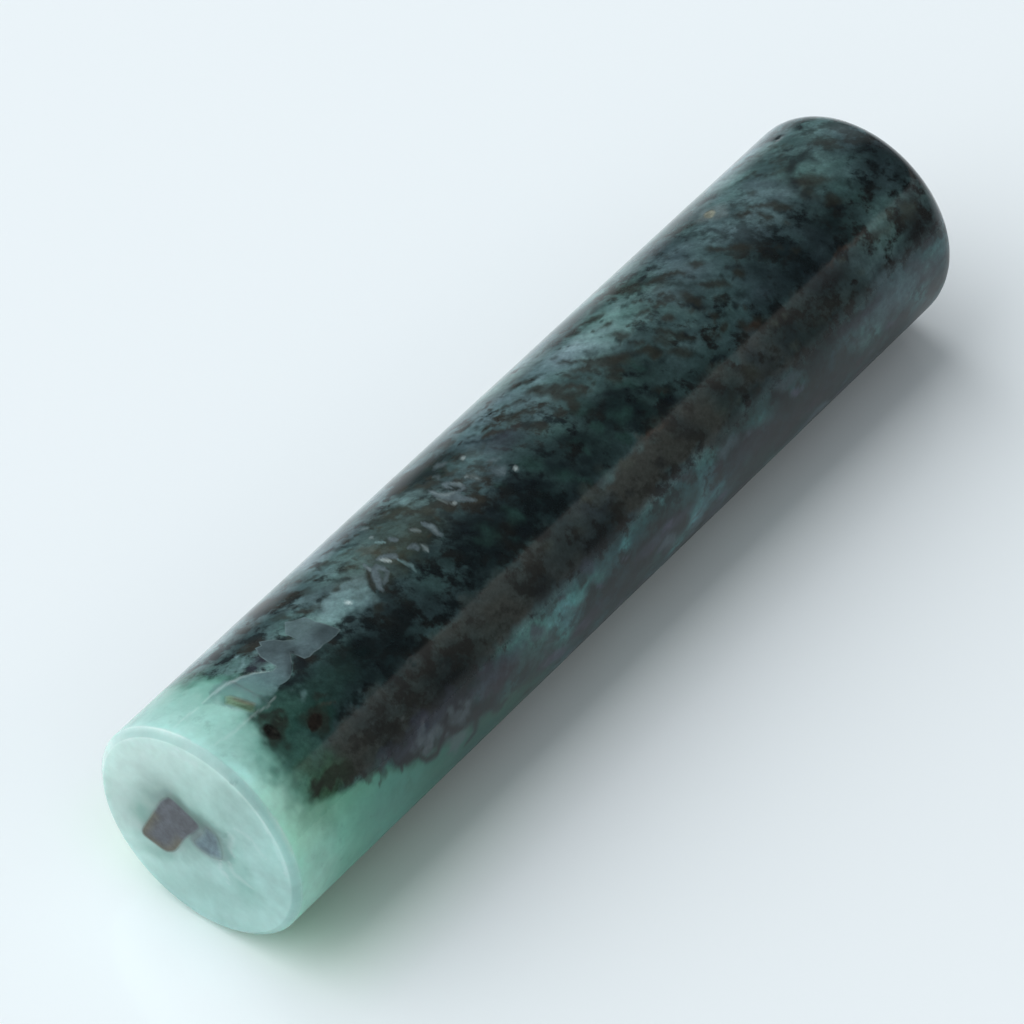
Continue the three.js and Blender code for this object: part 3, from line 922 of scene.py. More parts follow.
VEINS = tuple(Vein(*row) for row in (
    # fissures of the pale end, and the clear tail's thin outline
    (((0.4, -16), (1.6, -15.2), (2.9, -14.2)), 0.14, WHITE, 0.22, 0.9),
    (
        ((2.9, -14.5), (3.55, -14.8), (4.5, -13), (5.5, -10.9), (6.1, -6.8), (6.8, -1.6)),
        0.2, WHITE, 0.3, 0.9,
    ),
    (((0.6, 5.6), (2, 6.6), (3.6, 9), (4.7, 9.7), (5.45, 8.5)), 0.15, WHITE, 0.2, 0.9),
    # the star behind the bright patch, with the olive crescent inside it
    (((15.4, -7.5), (15.2, -4.9), (14.85, -1.7), (14.5, 2.2), (14.4, 4.9)), 0.42, UMBER, 0.9),
    (
        ((15.6, -10.9), (15.5, -6.6), (15.6, -4.3), (15.9, -4), (16, -1.3), (15.9, 1.4)),
        0.28, LILAC, 0.9,
    ),
    (((15.6, -4.6), (15.2, -0.3), (14.8, 3.6), (14.8, 5.9)), 0.46, LILAC, 0.9),
    (((15.9, 1.2), (15.5, 2.5), (15.1, 4.6)), 0.22, LILAC, 0.6),
    (((15.55, -8.5), (15.5, -5.2)), 0.17, PEARL, 0.6, 0.8),
    # pale curls
    (((16.3, -6.6), (16.7, -5), (17.05, -2.3), (16.95, 0.9)), 0.4, LILAC, 0.85),
    (((16.38, -5.6), (16.5, -3), (16.62, -0.7)), 0.2, WHITE, 0.45, 0.8),
    (((16.95, 0.7), (17.05, 4.8), (17.15, 7.8), (17.1, 11.5)), 0.17, MIST, 0.6, 0.9),
    (((17.9, -0.6), (18.2, 0.8), (18.25, 2.8), (18.2, 4.6)), 0.36, LILAC, 0.85),
    (((18.6, 3.3), (18.5, 6.6), (18.45, 8.6)), 0.22, PEARL, 0.75, 0.8),
    (((18.1, -12), (18.05, -9.1), (18.15, -6.5)), 0.3, LILAC, 0.85),
    (((17.5, -15.2), (17.7, -11.2)), 0.2, MIST, 0.7, 0.8),
    (((17.7, -21), (17.7, -17.8)), 0.22, PEARL, 0.6, 0.8),
    (((18.1, -30.2), (18.3, -25.6)), 0.22, PEARL, 0.5, 0.8),
    (((19.1, -7.2), (19.2, -5), (19.35, -2)), 0.22, PEARL, 0.6, 0.8),
    (((19.9, -4.4), (19.95, 0.1), (19.75, 4.8), (19.85, 7.6)), 0.36, LILAC, 0.9),
    (((19.95, -1), (19.85, 2.6), (19.75, 5.6)), 0.17, PEARL, 0.5, 0.9),
    # the hooked curl
    (
        ((22.2, -15.2), (22.1, -10.3), (22.3, -6.1), (22.45, -2.9), (22.65, 0.6), (22.9, 4.4)),
        0.46, LILAC, 0.9,
    ),
    (
        ((22.4, -6), (22.75, -4), (23.2, -2.9), (23.35, -4.6), (23.3, -7.5), (23.2, -11),
         (22.95, -12.7), (22.8, -10), (22.95, -7)),
        0.26, LILAC, 0.95,
    ),
    (((22.6, -11.2), (22.55, -8.4), (22.7, -6.2)), 0.16, BLACK, 0.6, 0.8),
    (((22.2, -14.6), (22.15, -10.3), (22.4, -6.3), (22.75, -4.2)), 0.17, PEARL, 0.6, 0.9),
    (((23.25, -10.8), (23.38, -7.3), (23.36, -4.4)), 0.17, PEARL, 0.5, 0.9),
    (((21.85, -9), (21.95, -4.8), (22, -2.2)), 0.18, PEARL, 0.45, 0.9),
    (((23.85, -7.6), (24.15, -5.7), (24.2, -3), (24.15, 0.3)), 0.22, PEARL, 0.65, 0.8),
    (((23.2, -22), (23.45, -19.6), (23.2, -17.4)), 0.2, LILAC, 0.5, 0.9),
    # dark streaks and arcs
    (((16.5, -30.6), (17, -21.9)), 0.28, BLACK, 0.6),
    (((26, -27), (26.6, -18), (27.3, -9)), 0.3, BLACK, 0.6),
    (((33, 8), (34.2, 15), (35.2, 22), (36, 30)), 0.5, BLACK, 0.5, 0.9),
    (((52.6, 10), (52.5, 2), (53.2, -6), (54.4, -11), (55.2, -6), (55, 2)), 0.6, BLACK, 0.65, 0.8),
    # folds of the violet stone
    (((13.2, 71), (12.7, 73.6), (12.8, 77.6), (13.4, 82.4), (14, 84.3)), 0.45, BLACK, 0.95, 0.9),
    (((12.6, 77), (12.1, 82), (11.7, 84.8), (10.8, 82.8), (10.3, 77)), 0.5, BLACK, 0.95, 0.9),
    (((9, 77), (9.1, 72.5), (9.8, 75.5), (10.3, 77)), 0.45, BLACK, 0.9, 0.9),
    (((15.2, 80), (15.1, 87.5), (15, 95.3), (14.2, 99)), 0.45, BLACK, 0.8, 0.9),
    (((16.5, 83), (16.7, 90.3), (17.2, 94.9), (17.8, 93.5)), 0.65, BLACK, 0.75, 0.9),
))

# Spots of the seal face, placed by (right, up) from its middle
FACE_SPOTS = tuple(Spot(*row) for row in (
    (-1, 1, 6.6, 4.6, 30, SEA, 0.42, 0.8), (-1.7, -0.2, 4.6, 6, -40, TEAL, 0.34, 0.5, 1),
    (-2.2, 1.7, 2.4, 1.8, 20, DEEP, 0.3, 0.8, 1),
    (0.8, 4.6, 8, 3.4, -10, SEA, 0.18, 0.9), (2, -4.4, 8, 3.4, 20, WHITE, 0.12, 0.9),
    (-0.5, 1.55, 2.8, 1.1, -22, TEAL, 0.58, 0.7, 1), (0.9, 1.5, 2.2, 1.3, -22, TEAL, 0.56, 0.7, 1),
    (1.2, 0.2, 2.6, 2.8, 0, LILAC, 0.5, 0.5, 1.8), (0.2, -0.4, 1.6, 1.4, 0, LILAC, 0.55, 0.5, 1.4),
    (-2.6, -3.1, 3, 0.9, 20, SEA, 0.45, 0.7), (-3.6, -0.9, 1.6, 1.6, 60, SEA, 0.45, 0.7),
    (2.6, -0.4, 1.8, 3.6, 20, SEA, 0.35, 0.7), (3.4, -2.2, 2.4, 1.8, 20, SEA, 0.25, 0.7),
    (0.4, -4, 6, 2, 10, SEA, 0.2, 0.8), (-3.6, -2.6, 2, 0.8, 20, JADE, 0.4, 0.5),
    (2.65, 5.9, 0.26, 0.22, 0, GREEN, 0.45, 0.5), (-2.6, -0.4, 0.2, 0.14, 0, WHITE, 0.5, 0.5),
    (-1.1, 6.1, 0.3, 0.16, 20, WHITE, 0.6, 0.4),
))

# Thin milky lines of the seal face, placed the same way
FACE_VEINS = tuple(Vein(*row) for row in (
    (((1.9, 1.9), (2.3, 1.5), (2.2, 0.8), (2.6, 0.1)), 0.5, WHITE, 0.22, 0.95),
    (((2, -0.4), (2.6, -1.3), (3.7, -1.5)), 0.4, WHITE, 0.22, 0.95),
    (((2.6, 2.4), (3.6, 2.3), (4.8, 1.5)), 0.3, WHITE, 0.16, 0.9),
    (((1.7, -0.7), (1.6, -1.6), (2.2, -2.4)), 0.22, WHITE, 0.25, 0.9),
    (((3.4, 5.4), (4.6, 4.4), (5.4, 3.2), (5.9, 2), (6, 0.8)), 0.2, WHITE, 0.22, 0.9),
    (((-4.2, 4.4), (-2.2, 5.6), (0.2, 5.9)), 0.5, WHITE, 0.2, 0.9),
))


# ------------------------------ meshes


def write_paint(mesh: bpy.types.Mesh, paint: Paint) -> None:
    """Puts the paint on a mesh as point attributes that its material reads.

    Args:
        mesh: the mesh to paint.
        paint: one value of each kind for every vertex.
    """
    count = len(paint.colour)
    for name, colour, alpha in (
        ("stone_colour", paint.colour, paint.grain),
        ("stone_dark", paint.dark, np.ones(count)),
    ):
        rgba = np.concatenate([np.clip(colour, 0.0, 1.0), alpha[:, None]], axis=1)
        layer = mesh.attributes.new(name, "FLOAT_COLOR", "POINT")
        layer.data.foreach_set("color", rgba.astype(np.float32).ravel())
    p = np.clip(paint.flecked, 0.01, 0.99)
    # the noise value under which a share p of the noise lies
    quantile = (p**QUANTILE_POWER - (1.0 - p) ** QUANTILE_POWER) / QUANTILE_SCALE
    level = 0.5 + FLECK_SPREAD * quantile
    for name, values in (
        ("stone_level", level), ("stone_clear", paint.clear), ("stone_rough", paint.rough)
    ):
        layer = mesh.attributes.new(name, "FLOAT", "POINT")
        layer.data.foreach_set("value", np.clip(values, 0.0, 1.0).astype(np.float32))


def closed_rings(name: str, rings: Array, first: Array, last: Array) -> bpy.types.Mesh:
    """Makes a closed mesh from rings of points, with a pole before the first and after the last.

    A ring's points go round anticlockwise as seen from the first pole's outside. Ring k's vertex j
    is number 1 + k * columns + j, and the poles are the first and the last vertex.

    Args:
        name: the mesh's name.
        rings: places in millimetres, with shape (rings, columns, 3).
        first: the first pole.
        last: the last pole.

    Returns:
        The mesh in metres.
    """
    count, columns, _ = rings.shape
    verts = np.concatenate([first[None], rings.reshape(-1, 3), last[None]]) * MM
    i, j = np.meshgrid(np.arange(count - 1), np.arange(columns), indexing="ij")
    nxt = (j + 1) % columns
    low, high = 1 + i * columns, 1 + (i + 1) * columns
    quads = np.stack([low + j, high + j, high + nxt, low + nxt], axis=-1).reshape(-1, 4)
    j = np.arange(columns)
    nxt = (j + 1) % columns
    fan = np.stack([np.zeros(columns, int), 1 + j, 1 + nxt], axis=-1)
    base = 1 + (count - 1) * columns
    end = np.stack([np.full(columns, len(verts) - 1), base + nxt, base + j], axis=-1)
    a, b, c, d = (verts[quads[:, k]] for k in range(4))
    volume = np.einsum("ij,ij->i", a, np.cross(b, c)) + np.einsum("ij,ij->i", a, np.cross(c, d))
    faces = quads.tolist() + fan.tolist() + end.tolist()
    if volume.sum() < 0.0:
        faces = [face[::-1] for face in faces]
    mesh = bpy.data.meshes.new(name)
    mesh.from_pydata(verts.tolist(), [], faces)
    mesh.update()
    mesh.shade_smooth()
    return mesh


def add_object(name: str, mesh: bpy.types.Mesh) -> bpy.types.Object:
    """Puts a mesh in the scene as an object at the origin.

    Args:
        name: the object's name.
        mesh: the mesh.

    Returns:
        The object.
    """
    obj = bpy.data.objects.new(name, mesh)
    bpy.context.scene.collection.objects.link(obj)
    return obj


# ------------------------------ materials


FLECK_SPREAD = 0.075  # how widely the fleck noise's values lie round their mean of 0.5
# the usual power law that stands in for the bell curve's quantiles
QUANTILE_POWER = 0.135
QUANTILE_SCALE = 0.1975


class NodeTree:
    """The nodes of a material or a world, with short ways to add and join them."""

    def __init__(self, tree: bpy.types.NodeTree) -> None:
        """Takes the tree that the nodes go into."""
        self.tree = tree

    def fill(self, socket: Socket, value: object) -> None:
        """Joins an input to another node's output, or gives it a fixed value."""
        if isinstance(value, Socket):
            self.tree.links.new(value, socket)
        else:
            socket.default_value = value

    def add(self, kind: str, inputs: dict[str | int, object], **options: str) -> bpy.types.Node:
        """Adds a node.

        Args:
            kind: its type.
            inputs: a value or another node's output for each input, by its name or number.
            options: the node's own settings.

        Returns:
            The node.
        """
        node = self.tree.nodes.new(kind)
        for option, value in options.items():
            setattr(node, option, value)
        for socket, value in inputs.items():
            self.fill(node.inputs[socket], value)
        return node

    def calc(self, kind: str, *values: float | Socket) -> Socket:
        """Adds one maths node of that kind with the given inputs."""
        return self.add("ShaderNodeMath", dict(enumerate(values)), operation=kind).outputs[0]

    def mix(self, share: Socket, a: object, b: object) -> Socket:
        """Adds a node that goes from colour a, at a share of 0, to colour b at a share of 1."""
        return self.add("ShaderNodeMix", {0: share, 6: a, 7: b}, data_type="RGBA").outputs[2]

    def ease(self, inputs: dict[str, object]) -> Socket:
        """Adds a node that eases from one value to another as its input crosses a span."""
        return self.add("ShaderNodeMapRange", inputs, interpolation_type="SMOOTHSTEP").outputs[0]

    def painted(self, name: str) -> bpy.types.NodeOutputs:
        """Adds a node that reads one painted attribute, and gives its outputs."""
        return self.add("ShaderNodeAttribute", {}, attribute_name=name).outputs

    def noise(
        self,
        place: Socket,
        size: float,
        detail: float,
        fall: float = 0.5,
        swirl: float = 0.0,
    ) -> Socket:
        """Adds noise whose largest cells are about `size` millimetres.

        Args:
            place: the coordinates.
            size: the cell size in millimetres.
            detail: how many finer octaves it has.
            fall: each octave's weight against the last.
            swirl: how far the noise bends itself.

        Returns:
            The noise value, about 0.5 in the mean.
        """
        inputs = {
            "Scale": 1.0 / (size * MM), "Detail": detail, "Roughness": fall, "Distortion": swirl,
            "Vector": place,
        }
        return self.add("ShaderNodeTexNoise", inputs).outputs["Fac"]

    def vary(self, colour: Socket, noise: Socket, grain: Socket, amount: float) -> Socket:
        """Makes a colour lighter and darker: colour * (1 + grain * amount * (4 * noise - 2)).

        Args:
            colour: the colour to vary.
            noise: the noise, about 0.5 in the mean.
            grain: the painted strength of the mottling.
            amount: how strongly it varies at a grain of 1.

        Returns:
            The varied colour.
        """
        swing = self.calc("MULTIPLY_ADD", noise, 4.0 * amount, -2.0 * amount)
        gain = self.calc("MULTIPLY_ADD", swing, grain, 1.0)
        inputs = {0: colour, "Scale": gain}
        return self.add("ShaderNodeVectorMath", inputs, operation="SCALE").outputs[0]


@dataclass(frozen=True)
class StoneFinish:
    """A polished mineral's finish.

    The painted attributes give the ground, the flecks' colour and how much of the place they
    cover, the clearness and the roughness. Noise on Object coordinates draws the flecks, breaks
    the colour up below their size, and raises the surface a little.
    """

    name: str
    fleck: float = 0.95  # millimetres, the size of the dark flecks
    fleck_detail: float = 5.0
    fleck_fall: float = 0.64
    fleck_edge: float = 0.085  # in noise values, how softly they end
    swirl: float = 0.12  # how far the flecks' own noise bends them
    speck: float = 0.34  # millimetres, the size of the fine mottling
    speck_amount: float = 0.26
    grit: float = 0.13  # millimetres, the size of the finest grain
    grit_amount: float = 0.10
    grit_rough: float = 0.06  # how much roughness it adds
    draw: float = 1.2  # how far the mottling is drawn out along the slanting grain
    slant: float = -52.4  # degrees from X, that grain's direction
    ripple: float = 0.004  # millimetres, the height of the polish's own unevenness
    ripple_size: float = 1.6  # millimetres
    gloss_ior: float = 1.38
    scatter: tuple[float, float, float] = (0.9, 1.5, 1.35)  # millimetres
    scatter_forward: float = 0.2

    def build(self) -> bpy.types.Material:
        """Makes the material.

        Returns:
            The material, ready to assign.
        """
        mat = bpy.data.materials.new(self.name)
        mat.use_nodes = True
        tree = NodeTree(mat.node_tree)
        place = tree.add("ShaderNodeTexCoord", {}).outputs["Object"]
        turn, scale = (0.0, 0.0, math.radians(self.slant)), (self.draw, 1.0, 1.0)
        mapping = {"Rotation": turn, "Scale": scale, "Vector": place}
        drawn = tree.add("ShaderNodeMapping", mapping, vector_type="TEXTURE").outputs[0]

        ground = tree.painted("stone_colour")
        flecks = tree.noise(drawn, self.fleck, self.fleck_detail, self.fleck_fall, self.swirl)
        level = tree.painted("stone_level")["Fac"]
        share = tree.ease({
            "Value": flecks,
            "From Min": tree.calc("ADD", level, -self.fleck_edge),
            "From Max": tree.calc("ADD", level, self.fleck_edge),
        })
        both = tree.mix(share, tree.painted("stone_dark")["Color"], ground["Color"])
        speck = tree.noise(drawn, self.speck, 3.0)
        grit = tree.noise(place, self.grit, 1.0)
        colour = tree.vary(both, speck, ground["Alpha"], self.speck_amount)
        colour = tree.vary(colour, grit, ground["Alpha"], self.grit_amount)
        rough = tree.painted("stone_rough")["Fac"]
        wave = tree.noise(place, self.ripple_size, 2.0)
        height = self.ripple * MM
        bump = tree.add("ShaderNodeBump", {"Strength": 1.0, "Distance": height, "Height": wave})

        shader = mat.node_tree.nodes["Principled BSDF"]
        for name, value in (
            ("Base Color", colour),
            ("Roughness", tree.calc("MULTIPLY_ADD", grit, self.grit_rough, rough)),
            ("IOR", self.gloss_ior),
            ("Normal", bump.outputs[0]),
            ("Subsurface Weight", tree.painted("stone_clear")["Fac"]),
            ("Subsurface Radius", self.scatter),
            ("Subsurface Scale", MM),
            ("Subsurface Anisotropy", self.scatter_forward),
        ):
            tree.fill(shader.inputs[name], value)
        return mat


# ------------------------------ the stone


@dataclass(frozen=True)
class Pit:
    """A small open pore in the round side."""

    along: float
    angle: float
    width: float
    depth: float


@dataclass
class StoneBody:
    """The turned and polished rod with its flat seal face, narrow bevel and rounded top rim."""

    pattern: StonePattern
    bevel: float = 0.4
    rim_radius: float = 2.0
    far_columns: int = 60
    face_rings: int = 42
    side_rings: int = 146  # of the part past fine_end
    rim_rings: int = 9
    top_rings: int = 23
    fine_step: float = 0.107  # millimetres between the rings of the seal end's part of the side
    fine_end: float = 24.0
    pits: tuple[Pit, ...] = ()
    finish: StoneFinish = field(default_factory=lambda: StoneFinish("mottled jade polish"))

    FACE_SUNK = 0.005  # millimetres, so that the grains in the face can stand proud of it
    POLE_RING = 0.15  # the innermost ring's radius at both ends
    SKIN = 0.004  # the least by which the polished skin lies inside the drawn radius
    WAVES = 0.006  # how much deeper the polish's long waves take it
    # the bevel's soft-edged outline: along, and millimetres past the flat face's rim
    BEVEL_CURVE = ((0.008, -0.02), (0.04, 0.03), (0.2, 0.2), (0.36, 0.365), (0.42, 0.394))

    def columns(self) -> Array:
        """Angles of the mesh's columns, closer together on the side that the photograph shows.

        Returns:
            The angles in degrees from the top line towards -Y.
        """
        near = [np.arange(-62.0, -40.0, 2.0), np.arange(-40.0, 62.0), np.arange(62.0, 122.1, 1.5)]
        far = np.linspace(122.0, 298.0, self.far_columns + 2)[1:-1]
        return np.concatenate([*near, far])

    def profile(self) -> Array:
        """The rod's outline as (along, radius) rows from the seal face's middle to the top's.

        Returns:
            The rows, without the two poles.
        """
        edge, rim_start = RADIUS - self.bevel, LENGTH - self.rim_radius
        face = [(0.0, r) for r in np.linspace(self.POLE_RING, edge - 0.07, self.face_rings)]
        bevel = [(s, edge + r) for s, r in self.BEVEL_CURVE]
        side = [(s, RADIUS) for s in np.arange(0.5, self.fine_end, self.fine_step)]
        side += [(s, RADIUS) for s in np.linspace(self.fine_end, rim_start, self.side_rings)]
        turn = np.radians(np.linspace(0.0, 90.0, self.rim_rings + 1)[1:])
        inner = RADIUS - self.rim_radius
        rim = [
            (LENGTH - self.rim_radius * (1 - math.sin(t)), inner + self.rim_radius * math.cos(t))
            for t in turn
        ]
        top = [(LENGTH, r) for r in np.linspace(inner, self.POLE_RING, self.top_rings + 1)[1:]]
        return np.array(face + bevel + side + rim + top)

    def dip(self, along: Array, angle: Array) -> Array:
        """How far the surface lies inside the true radius, in millimetres.

        The polish leaves long shallow waves, dip = skin + waves * (1 + noise) / 2, and each pore
        is a small bowl, depth * (1 - rho^2)^2 inside its rim.

        Args:
            along: millimetres from the seal face.
            angle: degrees from the top line towards -Y.

        Returns:
            The dip at each point.
        """
        wave = self.pattern.noise.of(on_side(along, angle, RADIUS), Cloud.POLISH)
        total = self.SKIN + self.WAVES * np.clip(0.5 + 0.5 * wave, 0.0, 1.0)
        for pit in self.pits:
            u = along - pit.along
            v = (angle - pit.angle) * StonePattern.ARC
            rho = np.hypot(u, v) / (pit.width / 2)
            total += pit.depth * np.clip(1.0 - rho * rho, 0.0, 1.0) ** 2
        return total

    def build(self) -> bpy.types.Object:
        """Makes the rod's mesh, paints it and dresses it.

        Returns:
            The finished piece.
        """
        profile, columns = self.profile(), self.columns()
        wrapped = np.where(columns > 180.0, columns - 360.0, columns)
        along = np.repeat(profile[:, 0], len(columns))
        radius = np.repeat(profile[:, 1], len(columns))
        angle = np.tile(wrapped, len(profile))
        sunk = self.dip(along, angle) * belt(along, 0.3, 0.6, 58.0, LENGTH)
        sunk = np.maximum(sunk, self.SKIN) * np.clip(radius / RADIUS, 0.0, 1.0)
        rings = on_side(along, angle, radius - sunk)
        rings[:, 0] += self.FACE_SUNK * smooth(0.2, 0.0, along)
        grid = rings.reshape(len(profile), len(columns), 3)
        first = np.array([SEAL_X + self.FACE_SUNK, 0.0, RADIUS])
        last = np.array([-SEAL_X, 0.0, RADIUS])
        mesh = closed_rings("jade_body", grid, first, last)
        write_paint(mesh, self._paint(along, angle, radius))
        mesh.materials.append(self.finish.build())
        body = add_object("jade_body_polished", mesh)
        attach(body, "root")
        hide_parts("jade_body")
        return body

    def _paint(self, along: Array, angle: Array, radius: Array) -> Paint:
        """Paints every vertex: the face, the side and the top, eased into each other at the rims.

        Args:
            along: millimetres from the seal face.
            angle: degrees from the top line towards -Y.
            radius: distance from the axis.

        Returns:
            The paint with the two poles' rows added.
        """
        side = self.pattern.side(along, angle)
        turn = np.radians(angle)
        right, up = radius * np.sin(turn), radius * np.cos(turn)
        face, top = self.pattern.face(right, up), self.pattern.end(right, up)
        near, far = smooth(0.55, 0.25, along), smooth(LENGTH - 0.8, LENGTH - 0.05, along)
        whole = side.mix(face, near).mix(top, far)
        # the bevel's slope is milky
        slope = belt(along, 0.0, 0.04, 0.4, 0.55) * belt(angle, -80.0, -40.0, 20.0, 70.0)
        whole.lay(linear(132, 166, 165), 0.50 * slope)
        # painted highlights: two thin near-white lines where the bevel's edges catch the light
        edge_highlight = 0.45 * belt(angle, -56.0, -44.0, -16.0, 2.0)
        edge_highlight = edge_highlight + 0.30 * belt(angle, 40.0, 54.0, 64.0, 80.0)
        outer = np.exp(-(((along - 0.42) / 0.07) ** 2)) * edge_highlight
        edge = RADIUS - self.bevel - 0.05
        inner = np.exp(-(((radius - edge) / 0.12) ** 2)) * smooth(0.1, 0.05, along)
        inner = 0.16 * inner * belt(angle, 0.0, 25.0, 70.0, 95.0)
        whole.lay(linear(222, 236, 232), np.maximum(outer, inner))
        pole = self.pattern.face(np.zeros(1), np.zeros(1))
        return Paint.joined(pole, whole, whole.take(slice(-1, None)))


# ------------------------------ studio


@dataclass(frozen=True)
class Floor:
    """A plain pale floor, a little glossy, with a painted green glow beside the stone's pale end.
    """

    half: float = 6.0
    colour: tuple[float, float, float] = (0.89, 0.935, 0.96)
    glow: tuple[float, float, float] = (0.82, 0.95, 0.86)
    roughness: float = 0.08
    beside: tuple[float, float] = (12.5, 4.5)  # millimetres from the axis, none and full
    # millimetres along X for the glow's start and end, then its share at both
    lengthwise: tuple[tuple[float, ...], ...] = (
        (-8.0, -28.0, 0.22, 1.0), (-32.0, -26.5, 0.0, 1.0), (26.0, -6.0, 0.0, 1.0)
    )

    def build(self) -> bpy.types.Object:
        """Makes the floor.

        Its colour is painted green close beside the rod, most of all at the pale end: painted light
        that stands in for light that has gone through the stone. The tint eases out with the
        distance from the rod's axis, and its strength falls along the rod.

        Returns:
            The floor.
        """
        h = self.half
        mesh = bpy.data.meshes.new("floor")
        mesh.from_pydata([(-h, -h, 0), (h, -h, 0), (h, h, 0), (-h, h, 0)], [], [(0, 1, 2, 3)])
        mesh.update()
        floor = add_object("floor", mesh)
        mat = bpy.data.materials.new("pale floor")
        mat.use_nodes = True
        tree = NodeTree(mat.node_tree)
        place = tree.add("ShaderNodeTexCoord", {}).outputs["Object"]
        x, y, _ = tree.add("ShaderNodeSeparateXYZ", {0: place}).outputs
        share = self._ease(tree, tree.calc("ABSOLUTE", y), *self.beside, 0.0, 1.0)
        for row in self.lengthwise:
            share = tree.calc("MULTIPLY", share, self._ease(tree, x, *row))
        shader = mat.node_tree.nodes["Principled BSDF"]
        # the base colour with the painted green glow mixed in beside the rod
        colour = tree.mix(share, (*self.colour, 1.0), (*self.glow, 1.0))
        tree.fill(shader.inputs["Base Color"], colour)
        tree.fill(shader.inputs["Roughness"], self.roughness)
        mesh.materials.append(mat)
        return floor

    @staticmethod
    def _ease(tree: NodeTree, value: Socket, start: float, end: float, *to: float) -> Socket:
        """Eases between two shares as the value, in metres, goes from start to end millimetres."""
        names = ("Value", "From Min", "From Max", "To Min", "To Max")
        return tree.ease(dict(zip(names, (value, start * MM, end * MM, *to))))


@dataclass(frozen=True)
class KeyLamp:
    """A long soft box beside and above the rod, parallel to it.

    Its middle stands in the YZ plane at `rise` degrees above +Y. It spreads `half_spread` degrees
    to each side of that, and ends a little way past the rod's middle on the +X side.
    """

    rise: float = 52.0
    half_spread: float = 37.0
    distance: float = 2.0
    length: float = 6.5
    reach_x: float = 0.35
    power: float = 92.0

    def build(self) -> bpy.types.Object:
        """Makes the lamp.

        Returns:
            The lamp's object.
        """
        light = bpy.data.lights.new("key", "AREA")
        light.shape = "RECTANGLE"
        light.size = self.length
        light.size_y = 2.0 * self.distance * math.tan(math.radians(self.half_spread))
        light.energy = self.power
        lamp = bpy.data.objects.new("key", light)
        bpy.context.scene.collection.objects.link(lamp)
        rise = math.radians(self.rise)
        away = Vector((0.0, math.cos(rise), math.sin(rise)))
        end = self.distance * self.reach_x / math.sqrt(1.0 - self.reach_x**2)
        centre = away * self.distance + Vector((end - self.length / 2, 0.0, 0.0))
        across = Vector((1.0, 0.0, 0.0))
        axes = Matrix((across, away.cross(across), away)).transposed().to_4x4()
        lamp.matrix_world = Matrix.Translation(centre) @ axes
        return lamp


@dataclass(frozen=True)
class Room:
    """The light from all round: a low pale card towards -Y, open sky towards -X, a dim room."""

    card_slope: float = 0.936
    card_base: float = 0.21
    card_gain: float = 0.60
    card_power: float = 2.5
    room_base: float = 0.1
    room_glow: float = 0.2
    glow_rise: float = 50.0
    glow_width: float = 28.0
    sky: float = 0.50
    sky_start: float = 0.25
    sky_width: float = 0.15
    below: float = 0.9
    card_tint: tuple[float, float, float] = (1.0, 0.99, 0.97)
    air_tint: tuple[float, float, float] = (0.905, 0.985, 1.03)

    def build(self) -> bpy.types.World:
        """Makes the world.

        The strength is worked out from the direction (x, y, z). With t = z / (slope * -y), the card
        is base + gain * t^power where y < 0 and t < 1. Elsewhere the room is
        base + glow * exp(-((rise - middle) / width)^2), where rise = atan2(z, y), and the sky adds
        its level as x goes below 0.4. Below the horizon the strength is the floor's own.

        Returns:
            The world.
        """
        world = bpy.data.worlds.new("room")
        bpy.context.scene.world = world
        world.use_nodes = True
        tree = NodeTree(world.node_tree)
        calc = tree.calc
        place = tree.add("ShaderNodeTexCoord", {}).outputs["Generated"]
        x, y, z = tree.add("ShaderNodeSeparateXYZ", {0: place}).outputs

        limit = calc("MULTIPLY", y, -self.card_slope)
        t = calc("DIVIDE", z, calc("MAXIMUM", limit, 1e-4))
        card = calc("MULTIPLY", calc("LESS_THAN", t, 1.0), calc("LESS_THAN", y, 0.0))
        rise = calc("POWER", calc("MINIMUM", calc("MAXIMUM", t, 0.0), 1.0), self.card_power)
        light = calc("MULTIPLY_ADD", rise, self.card_gain, self.card_base)
        card_light = calc("MULTIPLY", card, light)
        open_air = calc("SUBTRACT", 1.0, card)
        q = calc("SUBTRACT", calc("ARCTAN2", z, y), math.radians(self.glow_rise))
        q = calc("DIVIDE", q, math.radians(self.glow_width))
        glow = calc("EXPONENT", calc("MULTIPLY", calc("MULTIPLY", q, q), -1.0))
        light = calc("MULTIPLY_ADD", glow, self.room_glow, self.room_base)
        room = calc("MULTIPLY", open_air, light)
        gone = calc("DIVIDE", calc("SUBTRACT", x, self.sky_start), self.sky_width)
        gone = calc("MINIMUM", calc("MAXIMUM", gone, 0.0), 1.0)
        sky = calc("MULTIPLY", calc("MULTIPLY", calc("SUBTRACT", 1.0, gone), open_air), self.sky)
        total = calc("ADD", calc("ADD", card_light, room), sky)
        under = calc("LESS_THAN", z, 0.0)
        above = calc("MULTIPLY", total, calc("SUBTRACT", 1.0, under))
        total = calc("ADD", above, calc("MULTIPLY", under, self.below))
        share = calc("MAXIMUM", card, under)
        tint = tree.mix(share, (*self.air_tint, 1.0), (*self.card_tint, 1.0))
        background = world.node_tree.nodes["Background"]
        tree.fill(background.inputs["Color"], tint)
        tree.fill(background.inputs["Strength"], total)
        return world


